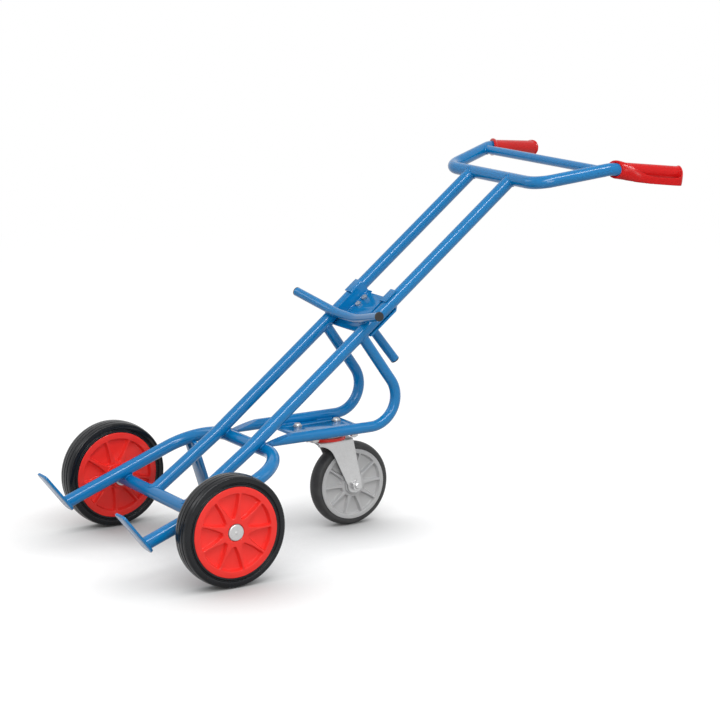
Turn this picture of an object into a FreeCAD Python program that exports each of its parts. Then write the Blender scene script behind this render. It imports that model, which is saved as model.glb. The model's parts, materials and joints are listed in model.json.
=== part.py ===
import FreeCAD, Part
import math
import os

# A three-wheeled drum trolley, standing on its wheels with the rails leaning back.
# Millimetres and degrees. +Z is up, -Y is the front with the toe plates, +Y is the
# handle. The left side, as seen by whoever pushes it, is +X. The pieces are laid out
# with the wheel axis over y = 0 and then moved together, so that the origin lies on
# the ground under the middle of the whole trolley.

Vector = FreeCAD.Vector
sides = {"left": 1, "right": -1}

# Frame tubes
tube_diameter = 30.0
tube_wall = 2.5
thin_tube_diameter = 25.0
thin_tube_wall = 2.0
slim_tube_diameter = 21.5
slim_tube_wall = 2.0

# Rails: a short foot from the axle tube, a slight bend, then the long straight
rail_spacing = 162.4
rail_foot_length = 199.0
rail_length = 903.0
rail_angle = 38.15
rail_bend_radius = 180.0

# Fork: one tube bent to a U that lies on the axle tube and carries the toe plates. Its
# crossbar lies under the rails, which are saddled a little way over it
prong_spacing = 402.0
saddle_depth = 0.4
crossbar_drop = 17.5
fork_tail_length = 226.0
prong_length = 160.0
fork_bend_radius = 110.0

# Toe plates, square to the rails, each with a round heel
toe_width = 46.0
toe_length = 114.0
toe_below_prong = 20.0
toe_thickness = 6.0
toe_corner_radius = 7.0
toe_heel_radius = 18.0

# Tread bar under the fork's right bend, for the foot that tips the trolley
tread_bar_width = 55.0
tread_bar_thickness = 8.0
tread_bar_length = 150.0
tread_bar_slope = 72.7
tread_bar_offset = 187.0
tread_bar_reach = 168.0
tread_bar_radius = 8.0

# Castor legs: thin tubes from the rails back, down and forward to the fork's crossbar
leg_rail_distance = 374.0
leg_slope = 55.0
leg_bend_radius = 66.0
leg_nose_length = 58.0
leg_nose_height = 9.0

# Castor mounting plate, welded between the legs, with slotted holes
mount_plate_thickness = 6.0
mount_plate_length = 176.0
mount_plate_lead = 12.0
mount_plate_drop = 7.0
mount_slot_length = 36.0
bolt_hole_clearance = 0.5

# Cradle bar across the front of the rails, and the plugs in open tube ends
cradle_rail_distance = 400.0
cradle_corner_spacing = 90.0
cradle_width = 368.0
cradle_rise_angle = 15.5
cradle_bend_radius = 220.0
plug_head = 3.0
plug_depth = 12.0
plug_edge_radius = 1.2

# Handle: one tube with a front bar, two arms that spread and rise, and two grip ends
handle_corner_spacing = 368.0
handle_bend_radius = 60.0
arm_length = 178.7
arm_splay_angle = 22.3
arm_rise_angle = 9.8
grip_splay_angle = 15.5
grip_drop_angle = 6.0
handle_brace_share = 0.89

# Grips with a knuckle guard on the outer side
grip_setback = 12.0
grip_length = 158.0
grip_wall = 1.8
grip_end_wall = 3.0
collar_diameter = 43.0
collar_length = 7.0
guard_reach = 40.0
guard_wall = 3.2
guard_height = 17.0
guard_below_axis = 21.0
guard_flare_length = 52.0
guard_sweep_length = 66.0
guard_sweep_radius = 40.0
grip_end_flange = 4.0
grip_edge_radius = 1.2

# Main wheels
wheel_diameter = 250.0
wheel_track = 580.0
tyre_depth = 24.0
rim_width = 52.0
rim_web = 30.0
rim_ring = 11.0
rim_hub_diameter = 54.0
hub_inner_reach = 50.0
rim_spokes = 9
rim_spoke_root = 14.0
rim_spoke_tip = 4.5
rim_pocket_start = 31.0
rim_pocket_radius = 3.0
tyre_seat_depth = 6.0
tyre_flange = 4.0
tyre_wall_inset = 1.5
tyre_tread_width = 46.0
tyre_crown = 3.0
tyre_shoulder_radius = 4.0
tyre_groove_width = 3.0
tyre_groove_depth = 2.0
tyre_groove_shares = (-0.5, 0.0, 0.5)
axle_diameter = 20.0
bush_wall = 4.0
running_clearance = 0.05
axle_washer_diameter = 38.0
axle_washer_thickness = 2.5
hub_recess_diameter = 42.0
hub_recess_depth = 8.0
hub_cap_diameter = 37.0
hub_cap_height = 7.0
hub_cap_wall = 2.0
hub_cap_dome = 3.0

# Swivelling castor
castor_diameter = 200.0
castor_wheelbase = 411.0
castor_trail = 61.0
castor_tyre_depth = 16.5
castor_rim_width = 42.0
castor_rim_web = 24.0
castor_rim_ring = 8.0
castor_hub_diameter = 46.0
castor_hub_length = 52.0
castor_spokes = 10
castor_spoke_root = 9.0
castor_spoke_tip = 4.0
castor_pocket_start = 28.0
castor_pocket_radius = 3.0
castor_tread_width = 36.0
castor_tyre_crown = 6.5
castor_plate_length = 140.0
castor_plate_width = 110.0
castor_plate_thickness = 5.0
castor_plate_radius = 10.0
castor_bolt_diameter = 10.0
castor_bolt_pitch_y = 105.0
castor_bolt_pitch_x = 80.0
castor_axle_diameter = 14.0
castor_sleeve_wall = 3.0
fork_sheet = 4.0
fork_leg_gap = 1.0
fork_clearance = 11.0
fork_foot_radius = 19.0
fork_head_diameter = 92.0
fork_skirt = 12.0
fork_leg_front = 8.0
fork_leg_rear = 56.0
fork_sweep_radius = 45.0
fork_bend = 7.0
race_height = 9.0
race_diameter = 82.0
race_gap = 7.0
ball_circle_diameter = 62.0
ball_diameter = 8.0
ball_count = 20
ball_clearance = 0.2
seal_diameter = 91.0
seal_wall = 6.0
kingpin_diameter = 14.0

# Sliding carriage: a folded channel and a back plate that hold the rails between them
slide_clearance = 0.4
carriage_sheet = 3.0
carriage_bend = 2.0
carriage_plate_sheet = 4.0
carriage_plate_width = 184.0
carriage_plate_length = 110.0
carriage_shoulder = 86.0
carriage_tongue_width = 124.0
carriage_corner_radius = 6.0
carriage_channel_start = 24.0
carriage_channel_length = 92.0
carriage_lug_width = 27.0
carriage_lug_length = 38.0
carriage_notch_width = 96.0
carriage_notch_depth = 6.0
carriage_bolt_diameter = 8.0
carriage_bolt_spacing = 96.0
carriage_bolt_pitch = 22.0
carriage_bolt_margin = 18.0
push_handle_length = 138.0
push_handle_share = 0.4

# Fasteners follow their thread: shares of the bolt's diameter
head_width_share = 1.6
head_height_share = 0.65
nut_height_share = 0.8
washer_width_share = 2.1
washer_height_share = 0.2
bolt_end_share = 0.25
button_width_share = 1.75
button_height_share = 0.55
socket_width_share = 0.6
socket_depth_share = 0.3
edge_share = 0.12

# How far cuts run past a face, the gaps between bodies and between slipped-on pieces, and
# how near two points of a path lie when they count as one
overrun = 2.0
body_gap = 0.3
slip_gap = 0.1
same_point = 0.001

across = Vector(1, 0, 0)
up = Vector(0, 0, 1)
tube_radius = tube_diameter / 2
thin_radius = thin_tube_diameter / 2
slim_radius = slim_tube_diameter / 2
wheel_radius = wheel_diameter / 2
castor_radius = castor_diameter / 2
rim_diameter = wheel_diameter - 2 * tyre_depth
castor_rim_diameter = castor_diameter - 2 * castor_tyre_depth
far_away = rail_length + rail_foot_length


def leaning(angle):
    """Unit direction in the middle plane, at an angle above straight back."""
    return Vector(0, math.cos(math.radians(angle)), math.sin(math.radians(angle)))


def spreading(splay, rise):
    """Unit direction that leaves the left arm: back, outwards by splay and up by rise."""
    flat = math.cos(math.radians(rise))
    turn = math.radians(splay)
    return Vector(flat * math.sin(turn), flat * math.cos(turn), math.sin(math.radians(rise)))


def at_x(point, x):
    """The point moved out of the middle plane to x."""
    return Vector(x, point.y, point.z)


# Places that several pieces share, all in the middle plane
axle_centre = Vector(0, 0, wheel_radius)
fork_top = castor_diameter + fork_clearance + fork_sheet
race_bottom = fork_top + race_gap
castor_top = race_bottom + race_height + castor_plate_thickness
mount_plate_top = castor_top + mount_plate_thickness
leg_run_height = mount_plate_top + mount_plate_drop
fork_seat = tube_diameter - saddle_depth
crossbar_rise = leg_run_height - crossbar_drop - wheel_radius
fork_lift = math.asin(crossbar_rise / math.hypot(fork_seat, fork_tail_length))
fork_slope = math.degrees(fork_lift - math.atan2(fork_seat, fork_tail_length))
along_fork = leaning(fork_slope)
prong_middle = axle_centre + leaning(fork_slope + 90) * fork_seat
crossbar = prong_middle + along_fork * fork_tail_length
prong_front = prong_middle - along_fork * prong_length
along_rail = leaning(rail_angle)
off_crossbar = (crossbar - axle_centre).dot(leaning(rail_angle + 90)) + fork_seat
rail_foot_angle = rail_angle + math.degrees(math.asin(off_crossbar / rail_foot_length))
rail_bend = axle_centre + leaning(rail_foot_angle) * rail_foot_length
handle_bar = rail_bend + along_rail * rail_length
castor_centre = Vector(0, castor_wheelbase + castor_trail, castor_radius)
fork_half = castor_hub_length / 2 + fork_leg_gap
handle_corner = at_x(handle_bar, handle_corner_spacing / 2)
grip_root = handle_corner + spreading(arm_splay_angle, arm_rise_angle) * arm_length
along_grip = spreading(grip_splay_angle, -grip_drop_angle)
grip_tube_length = grip_setback + grip_length - grip_end_flange - grip_end_wall
hub_outer_reach = rim_width / 2 - hub_recess_depth
hub_inner_face = wheel_track / 2 - hub_inner_reach
hub_outer_face = wheel_track / 2 + hub_outer_reach
axle_tube_half = hub_inner_face - body_gap - axle_washer_thickness
cap_seat = hub_outer_face + body_gap + axle_washer_thickness
axle_half = cap_seat + hub_cap_height - hub_cap_wall

# The carriage's frame: x across, y up the rails from their bend, z off their front
on_rails = FreeCAD.Placement(rail_bend, FreeCAD.Rotation(across, rail_angle))
rail_back = -tube_radius - slide_clearance
plate_back = rail_back - carriage_plate_sheet
leg_tilt = math.radians(leg_slope + rail_angle - 90)
leg_upper_edge = leg_rail_distance + thin_radius / math.cos(leg_tilt) - plate_back * math.tan(leg_tilt)
carriage_low = leg_upper_edge + body_gap


def corner(before, point, after, radius):
    """Start, middle and end of the arc that rounds one corner of a path."""
    back = (before - point).normalize()
    forth = (after - point).normalize()
    half_turn = back.getAngle(forth) / 2
    reach = radius / math.tan(half_turn)
    towards = (back + forth).normalize()
    centre = point + towards * (radius / math.sin(half_turn))
    return point + back * reach, centre - towards * radius, point + forth * reach


def joined(first, arcs, last):
    """A wire of straight runs between the given corner arcs."""
    edges = []
    here = first
    for start, middle, end in arcs:
        if not here.isEqual(start, same_point):
            edges.append(Part.LineSegment(here, start).toShape())
        edges.append(Part.Arc(start, middle, end).toShape())
        here = end
    if not here.isEqual(last, same_point):
        edges.append(Part.LineSegment(here, last).toShape())
    return Part.Wire(edges)


def bent_rod(points, radius, diameter):
    """Solid round bar along straight runs with every corner between them rounded."""
    arcs = [corner(*points[i - 1:i + 2], radius) for i in range(1, len(points) - 1)]
    path = joined(points[0], arcs, points[-1])
    section = Part.Wire(Part.makeCircle(diameter / 2, points[0], points[1] - points[0]))
    return path.makePipeShell([section], True, False)


def bent_tube(points, radius, diameter, wall):
    """Hollow form of the bent rod."""
    return bent_rod(points, radius, diameter).cut(bent_rod(points, radius, diameter - 2 * wall))


def outline(points, radius):
    """Closed flat face with rounded corners; a list gives each corner its own radius."""
    count = len(points)
    radii = radius if isinstance(radius, list) else [radius] * count
    seam = (points[0] + points[-1]) * 0.5
    arcs = []
    for i, point in enumerate(points):
        arcs.append(corner(points[i - 1], point, points[(i + 1) % count], radii[i]))
    return Part.Face(joined(seam, arcs, seam))


def polygon(points):
    """Closed flat face with sharp corners."""
    return Part.Face(Part.makePolygon(points + points[:1]))


def rod(start, end, diameter):
    """Straight round bar between two points."""
    return Part.makeCylinder(diameter / 2, (end - start).Length, start, end - start)


def box(low, high):
    """Box between two opposite corners."""
    return Part.makeBox(*(high - low), low)


def beyond(point, direction):
    """Everything on the far side of a plane, as far as the trolley reaches."""
    return Part.makeCylinder(far_away, far_away, point, direction)


def ring(outer, inner, start, end):
    """Plain sleeve about the X axis."""
    return rod(across * start, across * end, outer).cut(rod(across * start, across * end, inner))


def mirrored(shape):
    """The same piece on the right-hand side."""
    return shape.mirror(Vector(0, 0, 0), across)


def hexagon(width, height):
    """Hexagonal prism standing on the ground, with both ends turned to a chamfer."""
    corner_radius = width / math.sqrt(3)
    edge = (corner_radius - width / 2) / 2
    angles = [math.radians(60 * turn) for turn in range(6)]
    points = [Vector(corner_radius * math.cos(a), corner_radius * math.sin(a), 0) for a in angles]
    prism = polygon(points).extrude(up * height)
    section = [(0, 0), (width / 2, 0), (corner_radius, edge)]
    section += [(corner_radius, height - edge), (width / 2, height), (0, height)]
    blank = polygon([Vector(out, 0, level) for out, level in section])
    return prism.common(blank.revolve(Vector(0, 0, 0), up, 360))


def nut(diameter):
    """Hexagon nut standing on the ground."""
    height = diameter * nut_height_share
    return hexagon(diameter * head_width_share, height).cut(Part.makeCylinder(diameter / 2, height))


def washer(diameter):
    """Flat washer standing on the ground."""
    height = diameter * washer_height_share
    disc = Part.makeCylinder(diameter * washer_width_share / 2, height)
    return disc.cut(Part.makeCylinder(diameter / 2, height))


def hex_bolt(diameter, length):
    """Bolt that hangs from the ground, with its hexagon head above."""
    head = hexagon(diameter * head_width_share, diameter * head_height_share)
    shank = Part.makeCylinder(diameter / 2, length, Vector(0, 0, -length))
    return chamfer_end(shank, -length, diameter).fuse(head).removeSplitter()


def button_bolt(diameter, length):
    """Bolt that hangs from the ground, with a low round head and a hexagon socket."""
    height = diameter * button_height_share
    head = Part.makeCylinder(diameter * button_width_share / 2, height)
    rim = [edge for edge in head.Edges if edge.BoundBox.ZMin > height / 2]
    head = head.makeFillet(height * (1 - edge_share), rim)
    depth = diameter * socket_depth_share
    socket = hexagon(diameter * socket_width_share, depth + overrun).translated(up * (height - depth))
    shank = Part.makeCylinder(diameter / 2, length, Vector(0, 0, -length))
    return chamfer_end(shank, -length, diameter).fuse(head).cut(socket).removeSplitter()


def chamfer_end(shank, level, diameter):
    """Takes the edge off the end of a shank at the given level."""
    rim = [edge for edge in shank.Edges if edge.BoundBox.ZMax < level + overrun]
    return shank.makeChamfer(diameter * edge_share, rim)


def lay_across(shape):
    """Turns an upright piece so that its top points to +X."""
    return shape.rotated(Vector(0, 0, 0), Vector(0, 1, 0), 90)


def end_plug(tip, direction):
    """Plug pushed into a slim tube that ends at tip and points in the direction."""
    bore = slim_tube_diameter - 2 * slim_tube_wall - 2 * slip_gap
    head = rod(tip, tip + direction * plug_head, slim_tube_diameter)
    rim = [edge for edge in head.Edges if (edge.CenterOfMass - tip).Length > plug_head / 2]
    rim = [edge for edge in rim if edge.Closed]
    return head.makeFillet(plug_edge_radius, rim).fuse(rod(tip - direction * plug_depth, tip, bore))


def rail_points(x):
    """Middle line of a rail, from the axle to the handle's front bar."""
    return [at_x(axle_centre, x), at_x(rail_bend, x), at_x(handle_bar, x)]


def fork_points():
    """Middle line of the fork, past its toe plates at both ends."""
    half = prong_spacing / 2
    front = prong_front - along_fork * tube_diameter
    return [at_x(front, half), at_x(crossbar, half), at_x(crossbar, -half), at_x(front, -half)]


def handle_points():
    """Middle line of the handle tube, from one grip's end to the other."""
    left = [grip_root + along_grip * grip_tube_length, grip_root, handle_corner]
    return left + [at_x(point, -point.x) for point in reversed(left)]


def leg_points(x):
    """Middle line of a castor leg, from the rail to the fork's crossbar."""
    top = rail_bend + along_rail * leg_rail_distance
    drop = (top.z - leg_run_height) / math.tan(math.radians(leg_slope))
    heel = Vector(x, top.y + drop, leg_run_height)
    return [at_x(top, x), heel, Vector(x, crossbar.y, leg_run_height)]


fork_rod = bent_rod(fork_points(), fork_bend_radius, tube_diameter)
handle_rod = bent_rod(handle_points(), handle_bend_radius, tube_diameter)
axle_tube_ends = [at_x(axle_centre, side * axle_tube_half) for side in sides.values()]
axle_tube_rod = rod(*axle_tube_ends, tube_diameter)


def make_rail(x):
    """Rail, coped to the axle tube and handle bar and notched over the crossbar."""
    tube = bent_tube(rail_points(x), rail_bend_radius, tube_diameter, tube_wall)
    return tube.cut((axle_tube_rod, handle_rod, fork_rod))


def make_fork():
    """Fork, its ends cut off along the toe plates."""
    bore = bent_rod(fork_points(), fork_bend_radius, tube_diameter - 2 * tube_wall)
    return fork_rod.cut((bore, beyond(prong_front, along_rail * -1), axle_tube_rod))


def make_axle_tube():
    """Thick tube that the axle is held in."""
    bore = ring_bore(axle_diameter + 2 * slip_gap, axle_tube_half)
    return axle_tube_rod.cut(bore.translated(axle_centre))


def ring_bore(diameter, half):
    """Bar across the trolley, long enough to cut a bore through a piece of that half width."""
    return rod(across * -(half + overrun), across * (half + overrun), diameter)


def make_toe_plate(x):
    """Plate across the end of a prong, which goes under the load."""
    low = -toe_below_prong
    high = low + toe_length
    half = toe_width / 2
    points = [(-half, low), (half, low), (half, high), (-half, high)]
    radii = [toe_heel_radius] * 2 + [toe_corner_radius] * 2
    face = outline([Vector(u, v, 0) for u, v in points], radii)
    plate = face.extrude(up * toe_thickness)
    plate.Placement = FreeCAD.Placement(at_x(prong_front, x), FreeCAD.Rotation(across, rail_angle + 90))
    return plate


def make_tread_bar():
    """Flat bar welded under the right bend of the fork, sloping down to the rear."""
    start = prong_middle + along_fork * tread_bar_reach
    half = tread_bar_width / 2
    seat = tube_radius / 2
    points = [(-half, seat), (half, seat), (half, tread_bar_length), (-half, tread_bar_length)]
    face = outline([Vector(u, v, 0) for u, v in points], tread_bar_radius)
    bar = face.extrude(up * tread_bar_thickness)
    turn = FreeCAD.Rotation(across, -tread_bar_slope)
    bar.Placement = FreeCAD.Placement(at_x(start, -tread_bar_offset), turn)
    return bar.cut(fork_rod)


def leg_rod(x, diameter, inset):
    """One leg as a solid bar, its nose pressed to a slope that ends at the crossbar."""
    bar = bent_rod(leg_points(x), leg_bend_radius, diameter)
    low = leg_run_height - thin_radius + leg_nose_height
    slope = math.degrees(math.atan2(leg_run_height + thin_radius - low, leg_nose_length))
    nose = Vector(x, crossbar.y + tube_radius, low)
    over = leaning(slope + 90)
    return bar.cut(Part.makeCylinder(leg_nose_length * 2, leg_nose_length, nose - over * inset, over))


def make_leg(x):
    """Castor leg, coped to its rail and to the crossbar."""
    tube = leg_rod(x, thin_tube_diameter, 0)
    tube = tube.cut(leg_rod(x, thin_tube_diameter - 2 * thin_tube_wall, thin_tube_wall))
    return tube.cut((bent_rod(rail_points(x), rail_bend_radius, tube_diameter), fork_rod))


def castor_bolt_places(level):
    """Places of the castor's four bolts, at the given height."""
    half_x = castor_bolt_pitch_x / 2
    half_y = castor_bolt_pitch_y / 2
    return [Vector(x, castor_wheelbase + y, level) for x in (-half_x, half_x) for y in (-half_y, half_y)]


def make_mount_plate():
    """Plate between the legs, with slots that run forward from the castor's bolts."""
    middle = castor_wheelbase - mount_plate_lead
    half = rail_spacing / 2
    low = Vector(-half, middle - mount_plate_length / 2, castor_top)
    plate = box(low, Vector(half, middle + mount_plate_length / 2, mount_plate_top))
    width = castor_bolt_diameter + 2 * bolt_hole_clearance
    run = Vector(0, mount_slot_length - width, 0)
    for place in castor_bolt_places(castor_top - overrun):
        depth = up * (mount_plate_thickness + 2 * overrun)
        ends = [rod(place, place + depth, width), rod(place - run, place - run + depth, width)]
        slot = box(place - run - across * (width / 2), place + across * (width / 2) + depth)
        plate = plate.cut(ends + [slot])
    return plate.cut([leg_rod(x, thin_tube_diameter, 0) for x in (-half, half)])


def cradle_points():
    """Middle line of the cradle bar, left to right: two arms that rise outwards over the rails."""
    rise = math.radians(cradle_rise_angle)
    over_rail = (tube_radius + slim_radius) / math.cos(rise)
    left = []
    for x in (cradle_width / 2, cradle_corner_spacing / 2):
        lift = over_rail + (x - rail_spacing / 2) * math.tan(rise)
        left.append(on_rails.multVec(Vector(x, cradle_rail_distance, lift)))
    return left + [at_x(point, -point.x) for point in reversed(left)]


def make_cradle_bar():
    """Bent bar that the load leans on, welded across both rails."""
    return bent_tube(cradle_points(), cradle_bend_radius, slim_tube_diameter, slim_tube_wall)


def make_cradle_plug():
    """Plug in the left end of the cradle bar."""
    points = cradle_points()
    return end_plug(points[0], (points[0] - points[1]).normalize())


def make_handle():
    """Handle tube with its two grip ends."""
    return bent_tube(handle_points(), handle_bend_radius, tube_diameter, tube_wall)


def make_handle_brace():
    """Slim tube between the handle's arms, coped to both."""
    place = handle_corner + (grip_root - handle_corner) * handle_brace_share
    ends = [place, at_x(place, -place.x)]
    bore = rod(*ends, slim_tube_diameter - 2 * slim_tube_wall)
    return rod(*ends, slim_tube_diameter).cut((bore, handle_rod))


def grip_placement():
    """Frame of the left grip: x outwards, y along the tube from its root, z up."""
    outwards = along_grip.cross(up).normalize()
    upwards = outwards.cross(along_grip)
    turn = FreeCAD.Rotation(outwards, along_grip, upwards, "ZXY")
    return FreeCAD.Placement(grip_root, turn)


def guard_band():
    """Knuckle guard: a band that leaves the collar, flares out and runs to the end flange."""
    front = grip_setback
    back = grip_setback + grip_length
    flare = front + guard_flare_length
    start = collar_diameter / 2
    inner = guard_reach - guard_wall
    behind = front + guard_wall
    points = [(0, front), (start, front), (guard_reach, flare), (guard_reach, back)]
    points += [(inner, back), (inner, flare), (start - guard_wall, behind), (0, behind)]
    edge = grip_edge_radius
    radii = [edge, edge, guard_flare_length / 2, edge, edge, guard_flare_length / 2, edge, edge]
    band = outline([Vector(u, v, -guard_below_axis) for u, v in points], radii)
    band = band.extrude(up * (guard_below_axis + collar_diameter / 2))
    top = guard_height - guard_below_axis
    high = collar_diameter / 2 + overrun
    sweep = front + guard_sweep_length
    cut = [(front + collar_length, high), (sweep, top), (back + overrun, top), (back + overrun, high)]
    radii = [edge, guard_sweep_radius, edge, edge]
    upper = outline([Vector(-overrun, v, w) for v, w in cut], radii)
    return band.cut(upper.extrude(across * (guard_reach + 2 * overrun)))


def grip_flange():
    """End of the grip: a rounded plate from the sleeve out to the guard."""
    back = grip_setback + grip_length
    top = collar_diameter / 2
    low = -guard_below_axis
    points = [(-top, top), (guard_reach, top), (guard_reach, low), (-top, low)]
    radii = [top * (1 - edge_share), guard_reach - top, grip_edge_radius, top * (1 - edge_share)]
    face = outline([Vector(u, back, w) for u, w in points], radii)
    return face.extrude(Vector(0, -grip_end_flange, 0))


def make_grip():
    """Left grip, pushed over the tube's end."""
    back = Vector(0, grip_setback + grip_length, 0)
    front = Vector(0, grip_setback, 0)
    bore = tube_diameter + 2 * slip_gap
    sleeve = rod(front, back, bore + 2 * grip_wall)
    collar = rod(front, front + Vector(0, collar_length, 0), collar_diameter)
    rims = [edge for edge in collar.Edges if edge.Closed]
    collar = collar.makeFillet(grip_edge_radius, rims)
    grip = sleeve.fuse((collar, guard_band(), grip_flange()))
    hole = rod(front - Vector(0, overrun, 0), Vector(0, grip_tube_length + slip_gap, 0), bore)
    grip = grip.cut(hole).removeSplitter()
    grip.Placement = grip_placement()
    return grip


def spoke_pocket(inner, outer, count, root, tip, depth, fillet):
    """Recess between two spokes that flare from tip to root, above the plane x = 0, centred on +Z."""
    half = math.pi / count
    points = []
    for radius, spoke in ((inner, root), (outer, tip)):
        turn = half - math.asin(spoke / 2 / radius)
        points.append([Vector(0, radius * math.sin(t), radius * math.cos(t)) for t in (-turn, 0, turn)])
    near, far = points
    edges = [Part.Arc(*near).toShape(), Part.LineSegment(near[2], far[2]).toShape()]
    edges += [Part.Arc(*reversed(far)).toShape(), Part.LineSegment(far[0], near[0]).toShape()]
    pocket = Part.Face(Part.Wire(edges)).extrude(across * (depth + overrun))
    upright = [edge for edge in pocket.Edges if edge.BoundBox.XLength > depth]
    pocket = pocket.makeFillet(fillet, upright)
    floor = [edge for edge in pocket.Edges if edge.BoundBox.XMax < depth / 2]
    return pocket.makeFillet(fillet / 2, floor)


def spoked_rim(diameter, width, web, pocket, count, hub):
    """Wheel disc about the X axis: closed web, spokes on both faces and a seat for the tyre."""
    half = width / 2
    disc = rod(across * -half, across * half, diameter)
    rims = [edge for edge in disc.Edges if edge.Closed]
    disc = disc.makeFillet(tyre_flange * edge_share, rims)
    inside = half - tyre_flange
    disc = disc.cut(ring(diameter + overrun, diameter - 2 * tyre_seat_depth, -inside, inside)).fuse(hub)
    cuts = []
    for turn in range(count):
        outer = pocket.rotated(Vector(0, 0, 0), across, turn * 360 / count).translated(across * (web / 2))
        cuts += [outer, outer.mirror(Vector(0, 0, 0), across)]
    return disc.cut(cuts)


def make_tyre(diameter, rim, width, tread, crown):
    """Solid rubber tyre about the X axis, seated between the rim's flanges, with a crowned tread."""
    seat = rim / 2 - tyre_seat_depth
    lip = rim / 2 + slip_gap
    foot = width / 2 - tyre_flange - slip_gap
    wall = width / 2 - tyre_wall_inset
    shoulder = diameter / 2 - crown
    half = [(foot, seat), (foot, lip), (wall, lip), (tread / 2, shoulder)]
    section = [(-along, out) for along, out in reversed(half)] + half
    points = [Vector(along, 0, out) for along, out in section]
    edges = [Part.LineSegment(*pair).toShape() for pair in zip(points, points[1:])]
    edges.append(Part.Arc(points[-1], up * (diameter / 2), points[0]).toShape())
    tyre = Part.Face(Part.Wire(edges)).revolve(Vector(0, 0, 0), across, 360)
    outside = [edge for edge in tyre.Edges if edge.Closed and edge.BoundBox.ZMax > shoulder - slip_gap]
    return tyre.makeFillet(tyre_shoulder_radius, outside)


def make_wheel_rim():
    """Main wheel's rim, with its hub reaching towards the axle tube and a recess for the cap."""
    inner, outer = rim_pocket_start, rim_diameter / 2 - rim_ring
    depth = (rim_width - rim_web) / 2
    flare = (rim_spoke_root, rim_spoke_tip)
    pocket = spoke_pocket(inner, outer, rim_spokes, *flare, depth, rim_pocket_radius)
    hub = rod(across * -hub_inner_reach, across * hub_outer_reach, rim_hub_diameter)
    rim = spoked_rim(rim_diameter, rim_width, rim_web, pocket, rim_spokes, hub)
    recess = rod(across * hub_outer_reach, across * (rim_width / 2 + overrun), hub_recess_diameter)
    return rim.cut((ring_bore(axle_diameter + 2 * bush_wall, hub_inner_reach), recess))


def make_wheel_tyre():
    """Main wheel's tyre, with grooves round its tread."""
    tyre = make_tyre(wheel_diameter, rim_diameter, rim_width, tyre_tread_width, tyre_crown)
    for share in tyre_groove_shares:
        middle = share * tyre_tread_width / 2
        start, end = middle - tyre_groove_width / 2, middle + tyre_groove_width / 2
        tyre = tyre.cut(ring(wheel_diameter + overrun, wheel_diameter - 2 * tyre_groove_depth, start, end))
    return tyre


def make_wheel_bush():
    """Bush pressed into the main wheel's hub, running on the axle."""
    bore = axle_diameter + 2 * running_clearance
    return ring(axle_diameter + 2 * bush_wall, bore, -hub_inner_reach, hub_outer_reach)


def make_axle_washer(start):
    """Washer on the axle, from the given distance outwards."""
    return ring(axle_washer_diameter, axle_diameter, start, start + axle_washer_thickness)


def make_hub_cap():
    """Push-on cap that keeps the left wheel on the axle."""
    cap = rod(across * cap_seat, across * (cap_seat + hub_cap_height), hub_cap_diameter)
    rim = [edge for edge in cap.Edges if edge.BoundBox.XMin > cap_seat + hub_cap_height / 2]
    return cap.makeFillet(hub_cap_dome, rim).cut(rod(Vector(0, 0, 0), across * axle_half, axle_diameter))


def make_castor_plate():
    """Castor's top plate with the upper half of its ball race."""
    half_x = castor_plate_width / 2
    half_y = castor_plate_length / 2
    points = [(-half_x, -half_y), (half_x, -half_y), (half_x, half_y), (-half_x, half_y)]
    level = castor_top - castor_plate_thickness
    face = outline([Vector(u, castor_wheelbase + v, level) for u, v in points], castor_plate_radius)
    plate = face.extrude(up * castor_plate_thickness)
    pin = Vector(0, castor_wheelbase, race_bottom)
    plate = plate.fuse(rod(pin, pin + up * race_height, race_diameter)).removeSplitter()
    width = castor_bolt_diameter + 2 * bolt_hole_clearance
    holes = [rod(place, place + up * race_height, width) for place in castor_bolt_places(level - overrun)]
    bore = rod(pin - up * overrun, pin + up * (castor_top - race_bottom + overrun), kingpin_diameter)
    return plate.cut(holes + [bore, ball_groove()])


def ball_groove():
    """Torus that the balls run in, half in the race above and half in the fork's head."""
    middle = Vector(0, castor_wheelbase, (race_bottom + fork_top) / 2)
    return Part.makeTorus(ball_circle_diameter / 2, ball_diameter / 2 + ball_clearance, middle)


def make_balls():
    """Balls of the swivel race."""
    middle = Vector(0, castor_wheelbase, (race_bottom + fork_top) / 2)
    balls = []
    for turn in range(ball_count):
        angle = 2 * math.pi * turn / ball_count
        place = Vector(math.cos(angle), math.sin(angle), 0) * (ball_circle_diameter / 2)
        balls.append(Part.makeSphere(ball_diameter / 2, middle + place))
    return Part.makeCompound(balls)


def make_seal_ring():
    """Ring round the ball race, lying on the fork's head."""
    low = Vector(0, castor_wheelbase, fork_top)
    high = low + up * (race_gap - body_gap)
    return rod(low, high, seal_diameter).cut(rod(low, high, seal_diameter - 2 * seal_wall))


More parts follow.
